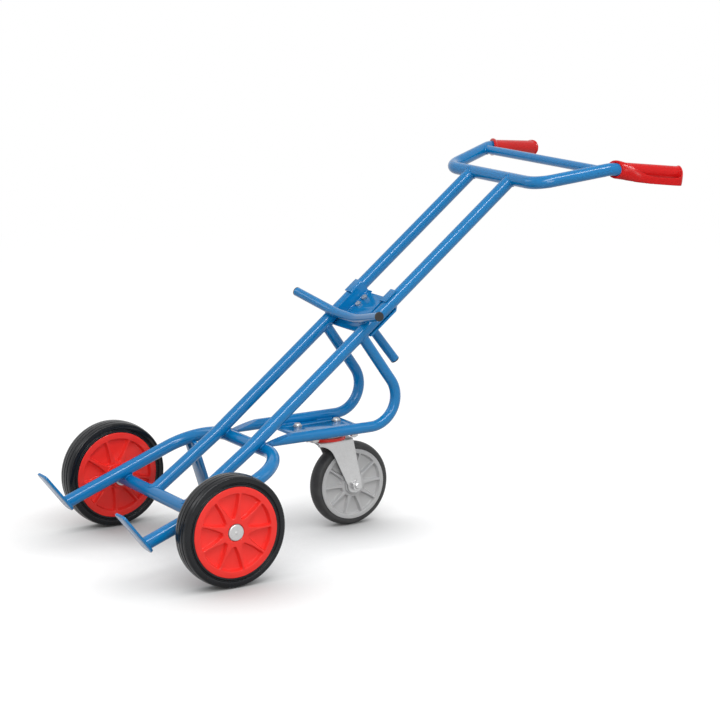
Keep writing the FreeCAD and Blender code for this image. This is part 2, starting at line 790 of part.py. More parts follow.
def make_castor_fork():
    """Pressed fork: a bent channel trimmed to its side view and to its head's plan."""
    outer = fork_half + fork_sheet
    low = -castor_diameter
    reach = castor_trail + fork_head_diameter
    section = [(-outer, low), (-outer, 0), (outer, 0), (outer, low)]
    base = low - overrun
    hollow = [(-fork_half, base), (-fork_half, -fork_sheet), (fork_half, -fork_sheet), (fork_half, base)]
    inner_bend = fork_bend - fork_sheet
    tip = fork_sheet * edge_share
    channel = outline([Vector(u, -reach, w) for u, w in section], [tip, fork_bend, fork_bend, tip])
    bore = outline([Vector(u, -reach, w) for u, w in hollow], [tip, inner_bend, inner_bend, tip])
    channel = channel.cut(bore).extrude(Vector(0, 2 * reach, 0))
    axle_drop = castor_radius - fork_top
    head = fork_head_diameter / 2
    foot_front = castor_trail - fork_foot_radius
    foot_rear = castor_trail + fork_foot_radius
    foot_low = axle_drop - fork_foot_radius
    view = [(-head, 0), (fork_leg_rear, 0), (foot_rear, axle_drop), (foot_rear, foot_low)]
    view += [(foot_front, foot_low), (foot_front, axle_drop)]
    view += [(-fork_leg_front, -fork_skirt), (-head, -fork_skirt)]
    round_foot = fork_foot_radius * (1 - edge_share)
    radii = [tip, tip, fork_bend, round_foot, round_foot, fork_bend, fork_sweep_radius, tip]
    side_view = outline([Vector(-outer - overrun, v, w) for v, w in view], radii)
    side_view = side_view.extrude(across * (2 * outer + 2 * overrun))
    plan = Part.makeCylinder(head, castor_diameter, Vector(0, 0, low))
    plan = plan.fuse(box(Vector(-outer, 0, low), Vector(outer, reach, 0)))
    fork = channel.common(side_view).common(plan)
    fork = fork.translated(Vector(0, castor_wheelbase, fork_top))
    pin = Vector(0, castor_wheelbase, fork_top - fork_sheet)
    turning_fit = kingpin_diameter + 2 * running_clearance
    bore = rod(pin - up * overrun, pin + up * (fork_sheet + overrun), turning_fit)
    axle = ring_bore(castor_axle_diameter, outer).translated(castor_centre)
    return fork.cut((bore, axle, ball_groove()))


def make_kingpin():
    """Pin that the castor swivels on, fixed in the top plate."""
    high = Vector(0, castor_wheelbase, castor_top)
    end = kingpin_diameter * (nut_height_share + bolt_end_share)
    return rod(Vector(0, castor_wheelbase, fork_top - fork_sheet - body_gap - end), high, kingpin_diameter)


def make_kingpin_nut():
    """Nut under the fork's head, made fast to the pin."""
    height = kingpin_diameter * nut_height_share
    level = fork_top - fork_sheet - body_gap - height
    return nut(kingpin_diameter).translated(Vector(0, castor_wheelbase, level))


def make_castor_axle():
    """Bolt through the fork's legs, with its head on the right."""
    outer = fork_half + fork_sheet
    length = 2 * outer + castor_axle_diameter * (nut_height_share + bolt_end_share)
    bolt = lay_across(hex_bolt(castor_axle_diameter, length))
    bolt = bolt.rotated(Vector(0, 0, 0), up, 180)
    return bolt.translated(castor_centre - across * outer)


def make_castor_nut():
    """Nut on the left end of the castor's axle bolt."""
    seat = castor_centre + across * (fork_half + fork_sheet)
    return lay_across(nut(castor_axle_diameter)).translated(seat)


def make_castor_sleeve():
    """Sleeve on the axle bolt, clamped between the fork's legs."""
    outer = castor_axle_diameter + 2 * castor_sleeve_wall
    return ring(outer, castor_axle_diameter, -fork_half, fork_half).translated(castor_centre)


def make_castor_bush():
    """Bush pressed into the castor wheel's hub, running on the sleeve."""
    sleeve = castor_axle_diameter + 2 * castor_sleeve_wall
    half = castor_hub_length / 2
    bush = ring(sleeve + 2 * bush_wall, sleeve + 2 * running_clearance, -half, half)
    return bush.translated(castor_centre)


def make_castor_rim():
    """Castor wheel's rim."""
    inner, outer = castor_pocket_start, castor_rim_diameter / 2 - castor_rim_ring
    depth = (castor_rim_width - castor_rim_web) / 2
    flare = (castor_spoke_root, castor_spoke_tip)
    pocket = spoke_pocket(inner, outer, castor_spokes, *flare, depth, castor_pocket_radius)
    half = castor_hub_length / 2
    hub = rod(across * -half, across * half, castor_hub_diameter)
    rim = spoked_rim(castor_rim_diameter, castor_rim_width, castor_rim_web, pocket, castor_spokes, hub)
    bore = castor_axle_diameter + 2 * (castor_sleeve_wall + bush_wall)
    return rim.cut(ring_bore(bore, half)).translated(castor_centre)


def make_castor_tyre():
    """Castor wheel's tyre."""
    tyre = make_tyre(castor_diameter, castor_rim_diameter, castor_rim_width, castor_tread_width,
                     castor_tyre_crown)
    return tyre.translated(castor_centre)


def make_castor_fasteners():
    """Bolts, washers and nuts that hold the castor, each a group of separate solids."""
    step = castor_bolt_diameter * washer_height_share
    low = castor_top - castor_plate_thickness
    tall = castor_bolt_diameter * nut_height_share
    length = mount_plate_top + 2 * step - low + tall + castor_bolt_diameter * bolt_end_share
    bolt = button_bolt(castor_bolt_diameter, length)
    disc = washer(castor_bolt_diameter)
    bolts = [bolt.translated(place) for place in castor_bolt_places(mount_plate_top + step)]
    washers = [disc.translated(place) for place in castor_bolt_places(mount_plate_top)]
    washers += [disc.translated(place) for place in castor_bolt_places(low - step)]
    nuts = [nut(castor_bolt_diameter).translated(place) for place in castor_bolt_places(low - step - tall)]
    groups = {"castor_bolts": bolts, "castor_washers": washers, "castor_nuts": nuts}
    return {name: Part.makeCompound(group) for name, group in groups.items()}


def carriage_bolt_places(level):
    """Places of the carriage's four bolts, in its own frame, at the given level."""
    top = carriage_low + carriage_plate_length - carriage_bolt_margin
    half = carriage_bolt_spacing / 2
    return [Vector(x, top - row * carriage_bolt_pitch, level) for x in (-half, half) for row in (0, 1)]


def carriage_bolt_holes():
    """Bars through both sheets of the carriage where the bolts go."""
    depth = carriage_plate_sheet + carriage_sheet + 2 * overrun
    width = carriage_bolt_diameter + 2 * bolt_hole_clearance
    return [rod(place, place + up * depth, width) for place in carriage_bolt_places(plate_back - overrun)]


def make_carriage_channel():
    """Folded channel between the rails, with lugs that hook over their fronts."""
    web = rail_back + carriage_sheet
    lug = tube_radius + slide_clearance
    high = lug + carriage_sheet
    outside = rail_spacing / 2 - tube_radius - slide_clearance
    inside = outside - carriage_sheet
    reach = inside + carriage_lug_width
    half = [(inside, web), (inside, high), (reach, high)]
    half += [(reach, lug), (outside, lug), (outside, rail_back)]
    bend = carriage_bend
    wide = carriage_bend + carriage_sheet
    edge = carriage_sheet * edge_share
    radii = [bend, wide, edge, edge, bend, wide]
    start = carriage_low + carriage_channel_start
    points = [Vector(u, start, w) for u, w in half]
    points += [Vector(-u, start, w) for u, w in reversed(half)]
    channel = outline(points, radii + radii[::-1]).extrude(Vector(0, carriage_channel_length, 0))
    end = start + carriage_channel_length
    side = Vector(reach + overrun, 0, 0)
    under_bar = Vector(0, start - overrun, tube_radius - overrun)
    free = box(under_bar - side, Vector(0, end - carriage_lug_length, high + overrun) + side)
    notch = Vector(carriage_notch_width / 2, 0, 0)
    floor = Vector(0, end - carriage_notch_depth, rail_back - overrun)
    dip = box(floor - notch, Vector(0, end + overrun, web + bend) + notch)
    channel = channel.cut([free, dip] + carriage_bolt_holes())
    return placed_on_rails(channel)


def placed_on_rails(shape):
    """Moves a piece from the carriage's frame to its place on the rails."""
    shape = shape.copy()
    shape.Placement = on_rails.multiply(shape.Placement)
    return shape


def make_carriage_plate():
    """Back plate of the carriage, with a tongue at the top."""
    half = carriage_plate_width / 2
    tongue = carriage_tongue_width / 2
    shoulder = carriage_low + carriage_shoulder
    top = carriage_low + carriage_plate_length
    neck = shoulder + half - tongue
    points = [(-half, carriage_low), (half, carriage_low), (half, shoulder), (tongue, neck)]
    points += [(tongue, top), (-tongue, top), (-tongue, neck), (-half, shoulder)]
    small = carriage_corner_radius / 2
    radii = [carriage_corner_radius] * 3 + [small, small, small, small] + [carriage_corner_radius]
    face = outline([Vector(u, v, plate_back) for u, v in points], radii)
    plate = face.extrude(up * carriage_plate_sheet)
    return placed_on_rails(plate.cut(carriage_bolt_holes()))


def push_handle_ends():
    """Start and end of the push handle's middle line, in the carriage's frame."""
    middle = carriage_low + carriage_plate_length * push_handle_share
    start = Vector(0, middle, plate_back)
    return start, start - up * push_handle_length


def make_push_handle():
    """Short tube that stands off the carriage's back plate."""
    start, end = push_handle_ends()
    bore = rod(start, end, slim_tube_diameter - 2 * slim_tube_wall)
    return placed_on_rails(rod(start, end, slim_tube_diameter).cut(bore))


def make_push_handle_plug():
    """Plug in the free end of the push handle."""
    start, end = push_handle_ends()
    return placed_on_rails(end_plug(end, (end - start).normalize()))


def make_carriage_fasteners():
    """Bolts and nuts that hold the channel and the back plate together."""
    face = rail_back + carriage_sheet
    tall = carriage_bolt_diameter * nut_height_share
    length = face - plate_back + tall + carriage_bolt_diameter * bolt_end_share
    bolt = hex_bolt(carriage_bolt_diameter, length)
    bolts = [bolt.translated(place) for place in carriage_bolt_places(face)]
    hexagon_nut = nut(carriage_bolt_diameter)
    nuts = [hexagon_nut.translated(place) for place in carriage_bolt_places(plate_back - tall)]
    groups = {"carriage_bolts": bolts, "carriage_nuts": nuts}
    return {name: placed_on_rails(Part.makeCompound(group)) for name, group in groups.items()}


def wheel_pieces(name, side):
    """Pieces of one main wheel and what holds it on the axle."""
    middle = across * (wheel_track / 2)
    pieces = {
        "wheel_rim_" + name: make_wheel_rim().translated(middle),
        "wheel_tyre_" + name: make_wheel_tyre().translated(middle),
        "wheel_bush_" + name: make_wheel_bush().translated(middle),
        "inner_washer_" + name: make_axle_washer(axle_tube_half),
        "outer_washer_" + name: make_axle_washer(cap_seat - axle_washer_thickness),
        "hub_cap_" + name: make_hub_cap(),
    }
    for key, piece in pieces.items():
        piece = piece.translated(axle_centre)
        pieces[key] = piece if side > 0 else mirrored(piece)
    return pieces


def make_pieces():
    """Every piece of the trolley by its node's name."""
    pieces = {
        "fork_tube": make_fork(),
        "axle_tube": make_axle_tube(),
        "axle": rod(across * -axle_half, across * axle_half, axle_diameter).translated(axle_centre),
        "tread_bar": make_tread_bar(),
        "mount_plate": make_mount_plate(),
        "cradle_bar": make_cradle_bar(),
        "handle_tube": make_handle(),
        "handle_brace": make_handle_brace(),
        "castor_plate": make_castor_plate(),
        "castor_balls": make_balls(),
        "castor_seal": make_seal_ring(),
        "castor_fork": make_castor_fork(),
        "kingpin": make_kingpin(),
        "kingpin_nut": make_kingpin_nut(),
        "castor_axle_bolt": make_castor_axle(),
        "castor_axle_nut": make_castor_nut(),
        "castor_sleeve": make_castor_sleeve(),
        "castor_bush": make_castor_bush(),
        "castor_rim": make_castor_rim(),
        "castor_tyre": make_castor_tyre(),
        "carriage_channel": make_carriage_channel(),
        "carriage_plate": make_carriage_plate(),
        "push_handle": make_push_handle(),
        "push_handle_plug": make_push_handle_plug(),
    }
    pieces.update(make_castor_fasteners())
    pieces.update(make_carriage_fasteners())
    for name, side in sides.items():
        pieces["rail_" + name] = make_rail(side * rail_spacing / 2)
        pieces["toe_plate_" + name] = make_toe_plate(side * prong_spacing / 2)
        pieces["castor_leg_" + name] = make_leg(side * rail_spacing / 2)
        pieces["cradle_plug_" + name] = make_cradle_plug() if side > 0 else mirrored(make_cradle_plug())
        pieces["grip_" + name] = make_grip() if side > 0 else mirrored(make_grip())
        pieces.update(wheel_pieces(name, side))
    return pieces


def to_origin(pieces):
    """How far the trolley moves so that its middle stands over the origin."""
    whole = Part.makeCompound(list(pieces.values())).optimalBoundingBox()
    return Vector(0, -whole.Center.y, 0)


pieces = make_pieces()
shift = to_origin(pieces)
os.makedirs("parts", exist_ok=True)
for node, piece in pieces.items():
    piece.translated(shift).exportStep("parts/" + node + ".step")
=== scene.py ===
import json
import math

import bpy
from mathutils import Euler, Matrix, Vector


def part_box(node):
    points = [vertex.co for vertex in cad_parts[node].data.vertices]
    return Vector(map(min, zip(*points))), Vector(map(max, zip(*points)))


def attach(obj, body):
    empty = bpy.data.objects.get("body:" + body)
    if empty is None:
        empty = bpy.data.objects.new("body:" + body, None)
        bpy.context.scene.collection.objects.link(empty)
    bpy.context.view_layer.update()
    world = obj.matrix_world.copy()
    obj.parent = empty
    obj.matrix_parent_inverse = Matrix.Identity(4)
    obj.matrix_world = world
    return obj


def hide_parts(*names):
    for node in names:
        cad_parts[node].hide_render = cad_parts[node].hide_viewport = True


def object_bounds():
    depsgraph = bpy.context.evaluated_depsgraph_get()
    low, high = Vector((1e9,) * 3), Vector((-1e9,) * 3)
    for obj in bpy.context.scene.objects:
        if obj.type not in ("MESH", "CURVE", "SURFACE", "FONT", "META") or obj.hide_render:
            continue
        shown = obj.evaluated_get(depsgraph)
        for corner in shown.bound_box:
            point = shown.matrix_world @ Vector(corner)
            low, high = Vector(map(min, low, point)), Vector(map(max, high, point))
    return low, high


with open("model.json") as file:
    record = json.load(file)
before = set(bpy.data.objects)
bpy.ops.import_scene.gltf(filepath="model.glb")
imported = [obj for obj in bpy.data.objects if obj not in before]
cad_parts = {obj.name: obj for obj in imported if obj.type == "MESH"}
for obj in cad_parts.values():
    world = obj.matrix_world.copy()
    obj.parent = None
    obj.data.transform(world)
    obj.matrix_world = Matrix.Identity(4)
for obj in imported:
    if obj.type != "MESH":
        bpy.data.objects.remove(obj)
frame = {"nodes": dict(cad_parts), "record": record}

bl_info = {
    "name": "Drum trolley",
    "version": (1, 0, 0),
    "blender": (4, 5, 0),
    "location": "3D View > Sidebar > Trolley",
    "description": "Dresses the packed drum trolley: finishes, moulded wheels and grips, and weld seams",
    "category": "Object",
}

# The part's box straight after loading, its nodes and its directions. Metres; +Z is up, -Y is the front with
# the toe plates and +X is the pusher's left.
cad_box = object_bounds()
nodes = frame["nodes"]
sides = {"left": 1, "right": -1}
across = Vector((1, 0, 0))
up = Vector((0, 0, 1))

# Points this near are joined to one, edges flatter than the first angle go, and sheet edges sharper than the
# second are rounded.
merge_distance = 1e-5
flat_angle = math.radians(0.6)
sharp_angle = math.radians(48)

# Heights of the points along one scale of a weld bead, in ripples.
scale_wave = (-1.0, 0.2, 1.0, 0.5)

# Spokes: how fast they flare towards the hub, and the most of a sector that half of one may take.
spoke_flare = 3.2
half_spoke_share = 0.42

# How far a face may lean, or lie from the wheel's face, and still be cut into a pocket, and how near to a
# spoke's middle a corner counts as on it.
flat_tolerance = 0.2
face_tolerance_share = 0.12
spoke_tolerance = 1e-4

# Weld seams round crossing tubes: their length by that of a ring round the thinner tube, the gap that a bead
# fills by its radius, and the steps that find its place.
crossing_share = 0.6
bead_gap_share = 1.5
halvings = 30

# Places of the seams along the mount plate's edge.
stitch_shares = (0.22, 0.78)


def middle_of(node):
    """Centre of a node's box at rest."""
    low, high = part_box(node)
    return (low + high) / 2


def leaning(angle):
    """Unit direction in the middle plane, at an angle above straight back."""
    return Vector((0, math.cos(angle), math.sin(angle)))


def spreading(splay, rise):
    """Unit direction straight back, turned outwards and upwards."""
    return Vector((math.sin(splay), math.cos(splay), math.tan(rise))).normalized()


def size(name, description, default):
    """A length that a user may change."""
    return bpy.props.FloatProperty(name=name, description=description, default=default, unit="LENGTH",
                                   precision=4)


def turn(name, description, degrees):
    """An angle that a user may change."""
    return bpy.props.FloatProperty(name=name, description=description, default=math.radians(degrees),
                                   subtype="ANGLE")


def amount(name, description, default):
    """A plain number that a user may change."""
    return bpy.props.FloatProperty(name=name, description=description, default=default)


def count_of(name, description, default):
    """A whole number that a user may change."""
    return bpy.props.IntProperty(name=name, description=description, default=default)


def tint(name, description, colour):
    """A linear colour that a user may change."""
    return bpy.props.FloatVectorProperty(name=name, description=description, default=colour, size=3,
                                         min=0, max=1, subtype="COLOR")


class TrolleyColours(bpy.types.PropertyGroup):
    """Colours of the finishes"""

    paint: tint("Paint", "Blue powder coat of the frame", (0.002, 0.180, 0.452))
    grip: tint("Grip plastic", "Grips", (0.60, 0.010, 0.010))
    red: tint("Red plastic", "Rims and the castor's ring", (0.86, 0.036, 0.028))
    rubber: tint("Rubber", "Main tyres", (0.006, 0.007, 0.009))
    castor_rubber: tint("Castor rubber", "Castor's tyre", (0.038, 0.038, 0.038))
    grey: tint("Grey plastic", "Castor's rim", (0.45, 0.45, 0.45))
    black: tint("Black plastic", "Plugs in the tube ends", (0.010, 0.010, 0.011))
    natural: tint("Natural plastic", "Bushes", (0.72, 0.70, 0.64))
    zinc: tint("Zinc", "Plated fork, plates and fasteners", (0.50, 0.50, 0.50))


class TrolleyWheels(bpy.types.PropertyGroup):
    """Sizes of the wheels' moulded details"""

    spokes: count_of("Spokes", "Spokes of a main wheel", 9)
    castor_spokes: count_of("Castor spokes", "Spokes of the castor wheel", 10)
    cells: count_of("Cells", "Faces from one spoke to the next", 10)
    spoke_root: size("Spoke root", "Half width of a main spoke at the hub", 0.0070)
    spoke_tip: size("Spoke tip", "Half width of a main spoke at the ring", 0.0013)
    castor_spoke_root: size("Castor spoke root", "Half width of a castor spoke at the hub", 0.0042)
    castor_spoke_tip: size("Castor spoke tip", "Half width of a castor spoke at the ring", 0.0012)
    pocket_depth: size("Pocket depth", "Depth of the recesses between the main spokes", 0.0105)
    castor_pocket_depth: size("Castor pocket depth", "Depth of the castor rim's recesses", 0.0085)
    pocket_draft: size("Pocket draft", "How far a recess's walls slope inwards", 0.0022)
    edge: size("Edge", "Width of the rounded edges of moulded pieces", 0.0009)
    left_roll: turn("Left roll", "How far the left wheel has rolled", 8)
    right_roll: turn("Right roll", "How far the right wheel has rolled", -17)
    castor_roll: turn("Castor roll", "How far the castor wheel has rolled", 16)
    turns: count_of("Turns", "Faces round a tyre or cap before smoothing", 48)


class TrolleyGrips(bpy.types.PropertyGroup):
    """Sizes of the moulded grips"""

    splay: turn("Splay", "How far the grips spread", 15.5)
    drop: turn("Drop", "How far the grips fall towards their ends", 6.0)
    bore: size("Bore", "Radius of the grip's bore", 0.0151)
    sleeve: size("Sleeve", "Radius of the sleeve that the hand holds", 0.0180)
    collar: size("Collar", "Radius of the collar", 0.0215)
    slant: amount("Slant", "How far the mouth falls back for each metre outwards", 0.60)
    mouth: size("Mouth", "How far from the arm's end the mouth's slant reaches back", 0.05)
    turns: count_of("Turns", "Faces round a sleeve or collar", 64)
    wall: size("Wall", "Thickness of the knuckle guard", 0.0038)
    grain: size("Grain", "Grid on which the grips are moulded", 0.0008)
    rounds: count_of("Rounds", "Rounds of smoothing that the moulded grips get", 18)


class TrolleySheet(bpy.types.PropertyGroup):
    """Edges of the sheet metal"""

    sheet_edge: size("Sheet edge", "Width of the rounded edges of cut sheet", 0.0008)
    fork_grain: size("Fork grain", "Grid on which the castor's pressed fork is shaped", 0.0010)
    fork_rounds: count_of("Fork rounds", "Rounds of smoothing that the pressed fork gets", 5)


class TrolleySeams(bpy.types.PropertyGroup):
    """Sizes of the frame that the weld seams follow"""

    tube: size("Tube", "Radius of the frame's tubes", 0.015)
    leg: size("Leg tube", "Radius of the castor legs' tubes", 0.0125)
    slim: size("Slim tube", "Radius of the brace, cradle bar and push handle", 0.01075)
    bead: size("Bead", "Radius of a weld bead", 0.0022)
    ripple: amount("Ripple", "How far the bead's scales stand out, as a share of its radius", 0.14)
    scale_length: size("Scale length", "Length of one scale of the bead", 0.0030)
    saddle: size("Saddle", "How deep crossing tubes are seated in each other", 0.0004)
    rail_foot: size("Rail foot", "From the axle to the rails' bend", 0.199)
    rail_foot_angle: turn("Rail foot angle", "Slope of the rails' feet", 34.9433)
    rail_angle: turn("Rail angle", "Slope of the rails", 38.15)
    rail_length: size("Rail length", "From the rails' bend to the handle", 0.903)
    rail_half: size("Rail half spacing", "From the middle to a rail", 0.0812)
    fork_slope: turn("Fork slope", "Slope of the fork", 20.3941)
    fork_tail: size("Fork tail", "From the axle to the crossbar along the fork", 0.226)
    prong: size("Prong", "From the axle to the toe plates along the fork", 0.160)
    prong_half: size("Prong half spacing", "From the middle to a prong", 0.201)
    leg_distance: size("Leg distance", "From the rails' bend to the legs", 0.374)
    leg_slope: turn("Leg slope", "Slope of the legs' rear runs", 55.0)
    nose_height: size("Nose height", "Height above the crossbar's middle of the legs' pressed noses", 0.01225)
    cradle_distance: size("Cradle distance", "From the rails' bend to the cradle bar", 0.400)
    cradle_rise: turn("Cradle rise", "Slope of the cradle bar's arms", 15.5)
    push_distance: size("Push handle distance", "From the rails' bend to the push handle", 0.43189)
    push_back: size("Push handle back", "From the rails' middle to the carriage's back", 0.0194)
    arm_length: size("Arm length", "Length of the handle's arms", 0.1787)
    arm_splay: turn("Arm splay", "How far the arms spread", 22.3)
    arm_rise: turn("Arm rise", "How far the arms rise", 9.8)
    handle_half: size("Handle half width", "From the middle to the handle's corners", 0.184)
    brace_share: amount("Brace share", "Place of the brace along the arms", 0.89)
    stitch: size("Stitch", "Length of one seam between the mount plate and a leg", 0.042)


class TrolleyStage(bpy.types.PropertyGroup):
    """Camera, light and floor"""

    eye: bpy.props.FloatVectorProperty(name="Eye", description="Place of the camera", size=3,
                                       subtype="TRANSLATION", default=(4.8284, -2.9291, 1.593))
    heading: turn("Heading", "Turn of the camera about the vertical", 58.637)
    dip: turn("Dip", "How far the camera looks down", 12.012)
    roll: turn("Roll", "Turn of the camera about its own line of sight", -0.228)
    lens: amount("Lens", "Focal length in millimetres", 123.83)
    ambient: amount("Ambient", "Strength of the light from all round", 0.64)
    key: amount("Key light", "Power of the long lamp over the trolley in watts", 36)
    strip: amount("Strip light", "Power of the thin lamp that only gloss shows, in watts", 95)
    left: amount("Left light", "Power of the lamp on the left in watts", 18)
    back: amount("Back light", "Power of the lamp behind in watts", 20)
    front: amount("Front light", "Power of the lamp beside the camera in watts", 36)
    floor_radius: size("Floor radius", "Radius of the floor", 60)
    floor_tone: amount("Floor tone", "Grey of the floor where light falls on it", 0.31)
    floor_glow: amount("Floor glow", "White on the open floor besides its lit colour", 0.75)
    # The next two set the painted contact shadow: how far from the trolley ambient occlusion darkens the
    # floor's glow, and the rays that it uses.
    painted_shadow_reach: size("Shade reach", "How far from the trolley the floor still loses its glow", 0.28)
    painted_shadow_rays: count_of("Shade rays", "Rays that look for the trolley from a point of the floor", 24)
    far_start: size("Far start", "Distance at which the floor begins to turn white", 1.6)
    far_end: size("Far end", "Distance from which the floor is white", 4.5)
    sight: size("Sight", "How far the camera sees", 200)


class Wire:
    """A shader socket that takes part in sums: each operation adds its own Math node."""

    def __init__(self, finish, socket):
        self.finish = finish
        self.socket = socket

    def math(self, operation, *values):
        return self.finish.node("ShaderNodeMath", {"operation": operation}, dict(enumerate(values)))

    def __add__(self, other):
        return self.math("ADD", self, other)

    def __mul__(self, other):
        return self.math("MULTIPLY", self, other)

    __radd__ = __add__
    __rmul__ = __mul__

    def clipped(self, low, high):
        """The value stretched so that low becomes 0 and high becomes 1."""
        values = {"Value": self, "From Min": low, "From Max": high}
        return self.finish.node("ShaderNodeMapRange", {"clamp": True}, values)

    def most(self, other):
        return self.math("MAXIMUM", self, other)


class Finish:
    """A material or world in the making."""

    def __init__(self, owner):
        self.owner = owner
        owner.use_nodes = True
        self.tree = owner.node_tree

    def node(self, kind, settings, inputs, output=0):
        """Adds a node, sets it up, feeds its sockets and gives one of its outputs."""
        made = self.tree.nodes.new(kind)
        for key, value in settings.items():
            setattr(made, key, value)
        for key, value in inputs.items():
            self.feed(made.inputs[key], value)
        return Wire(self, made.outputs[output])

    def feed(self, socket, value):
        """Links or sets one socket."""
        if isinstance(value, Wire):
            self.tree.links.new(value.socket, socket)
        else:
            socket.default_value = value

    def place(self):
        """Where a point lies on the piece, in metres."""
        return self.node("ShaderNodeTexCoord", {}, {}, "Object")

    def noise(self, scale, detail=2.0, rough=0.5, stretch=(1, 1, 1)):
        """Soft random values from 0 to 1."""
        place = self.node("ShaderNodeMapping", {}, {"Vector": self.place(), "Scale": stretch})
        values = {"Vector": place, "Scale": scale, "Detail": detail, "Roughness": rough}
        return self.node("ShaderNodeTexNoise", {}, values, "Fac")

    def uneven(self, share, colour, dark, light):
        """A colour that varies from its dark to its light shade; sockets 6, 7 and 2 are those for colours."""
        values = {"Factor": share, 6: (*shaded(colour, dark), 1), 7: (*shaded(colour, light), 1)}
        return self.node("ShaderNodeMix", {"data_type": "RGBA"}, values, 2)

    def bump(self, height, strength, distance):
        """Small relief for a Normal socket."""
        values = {"Height": height, "Strength": strength, "Distance": distance}
        return self.node("ShaderNodeBump", {}, values)

    def surface(self, **values):
        """Feeds the Principled shader; underscores stand for spaces."""
        shader = self.tree.nodes["Principled BSDF"]
        for key, value in values.items():
            self.feed(shader.inputs[key.replace("_", " ")], value)


def shaded(colour, factor):
    """A colour made darker or lighter."""
    return tuple(min(1.0, part * factor) for part in colour)


def finish_name(slot):
    """Name of the material for one of the record's slots."""
    return "trolley_" + slot


def new_finish(slot):
    return Finish(bpy.data.materials.new(finish_name(slot)))


def put_finish(piece, slot):
    """Leaves a piece with one finish alone."""
    piece.data.materials.clear()
    piece.data.materials.append(bpy.data.materials[finish_name(slot)])


def powder_coat(colours):
    """Glossy blue powder coat with its faint orange peel and slightly uneven tone."""
    finish = new_finish("blue_paint")
    cloud = finish.noise(scale=9.0, detail=3.0)
    peel = finish.noise(scale=420.0, detail=1.0)
    rough = 0.12 + 0.05 * finish.noise(scale=38.0, detail=4.0)
    tone = finish.uneven(cloud, colours.paint, dark=0.90, light=1.08)
    finish.surface(Base_Color=tone, Roughness=rough, Specular_IOR_Level=0.36,
                   Normal=finish.bump(peel, strength=0.004, distance=0.0005))


def moulded(name, colour, gloss, grain, shine=0.36):
    """Moulded plastic: even colour, faint flow marks and a fine grain."""
    finish = new_finish(name)
    flow = finish.noise(scale=26.0, detail=3.0, rough=0.6, stretch=(1, 1, 0.35))
    tone = finish.uneven(flow, colour, dark=0.93, light=1.06)
    texture = finish.noise(scale=1500.0, detail=2.0)
    rough = gloss + 0.12 * finish.noise(scale=60.0, detail=4.0)
    finish.surface(Base_Color=tone, Roughness=rough, Specular_IOR_Level=shine,
                   Normal=finish.bump(texture, strength=grain, distance=0.0004))


def tyre_rubber(name, colour, gloss):
    """Black rubber, dusty in places, with a fine matt grain."""
    finish = new_finish(name)
    dust = finish.noise(scale=34.0, detail=5.0, rough=0.65)
    tone = finish.uneven(dust.clipped(low=0.35, high=0.8), colour, dark=0.80, light=1.5)
    grain = finish.noise(scale=1900.0, detail=2.0)
    rough = gloss + 0.12 * finish.noise(scale=70.0, detail=4.0)
    finish.surface(Base_Color=tone, Roughness=rough, Specular_IOR_Level=0.26,
                   Normal=finish.bump(grain, strength=0.03, distance=0.0005))


def zinc_plate(colours):
    """Bright zinc plate: soft patches of tone and faint drawing marks."""
    finish = new_finish("zinc_steel")
    grid = {"Vector": finish.place(), "Scale": 420.0}
    cells = finish.node("ShaderNodeTexVoronoi", {"feature": "F1"}, grid, "Color")
    spangle = finish.node("ShaderNodeSeparateColor", {}, {"Color": cells})
    patch = finish.noise(scale=45.0, detail=4.0)
    tone = finish.uneven(0.7 * patch + 0.3 * spangle, colours.zinc, dark=0.86, light=1.12)
    scratch = finish.noise(scale=900.0, detail=2.0, rough=0.6, stretch=(0.06, 1, 1))
    finish.surface(Base_Color=tone, Metallic=0.80, Roughness=0.30 + 0.16 * patch,
                   Normal=finish.bump(scratch, strength=0.08, distance=0.0003))


def active():
    """The piece that the last operator made or was given."""
    return bpy.context.view_layer.objects.active


def pick(*pieces):
    """Selects only these pieces, the last of them active."""
    bpy.ops.object.select_all(action="DESELECT")
    for piece in pieces:
        piece.select_set(True)
        bpy.context.view_layer.objects.active = piece


def edit(piece, selected="DESELECT"):
    """Opens a piece for shaping, with nothing or all of it selected."""
    pick(piece)
    bpy.ops.object.mode_set(mode="EDIT")
    bpy.ops.mesh.select_all(action=selected)


def done():
    bpy.ops.object.mode_set(mode="OBJECT")


def fix_place(piece):
    """Puts a piece's place and turn into its mesh."""
    pick(piece)
    bpy.ops.object.transform_apply(location=True, rotation=True, scale=True)


def settle(piece, name, slot, body, *replaced, smooth=35):
    """Fixes a shaped piece's place, names and finishes it, and lets it ride on its body."""
    fix_place(piece)
    bpy.ops.object.shade_smooth_by_angle(angle=math.radians(smooth))
    piece.name = name
    piece.data.name = name
    put_finish(piece, slot)
    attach(piece, body)
    if replaced:
        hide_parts(*replaced)


def clean():
    """Joins doubled points of the mesh being edited and turns its faces outwards."""
    bpy.ops.mesh.select_all(action="SELECT")
    bpy.ops.mesh.remove_doubles(threshold=merge_distance)
    bpy.ops.mesh.normals_make_consistent(inside=False)


def apply_modifier(piece, kind, **settings):
    """Adds a modifier, sets it up and applies it."""
    pick(piece)
    modifier = piece.modifiers.new(kind.lower(), kind)
    for key, value in settings.items():
        setattr(modifier, key, value)
    bpy.ops.object.modifier_apply(modifier=modifier.name)


def copy_of(piece, name):
    """A copy with its own mesh."""
    pick(piece)
    bpy.ops.object.duplicate(linked=False)
    twin = active()
    twin.name = name
    twin.parent = None
    return twin


def merged_copy(node):
    """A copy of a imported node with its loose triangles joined."""
    piece = copy_of(nodes[node], node + "_dressed")
    edit(piece)
    bpy.ops.mesh.customdata_custom_splitnormals_clear()
    clean()
    done()
    return piece


def softened(node, width):
    """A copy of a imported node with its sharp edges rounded."""
    piece = merged_copy(node)
    edit(piece, "SELECT")
    bpy.ops.mesh.dissolve_limited(angle_limit=flat_angle)
    done()
    apply_modifier(piece, "BEVEL", width=width, segments=2, limit_method="ANGLE", angle_limit=sharp_angle)
    return piece


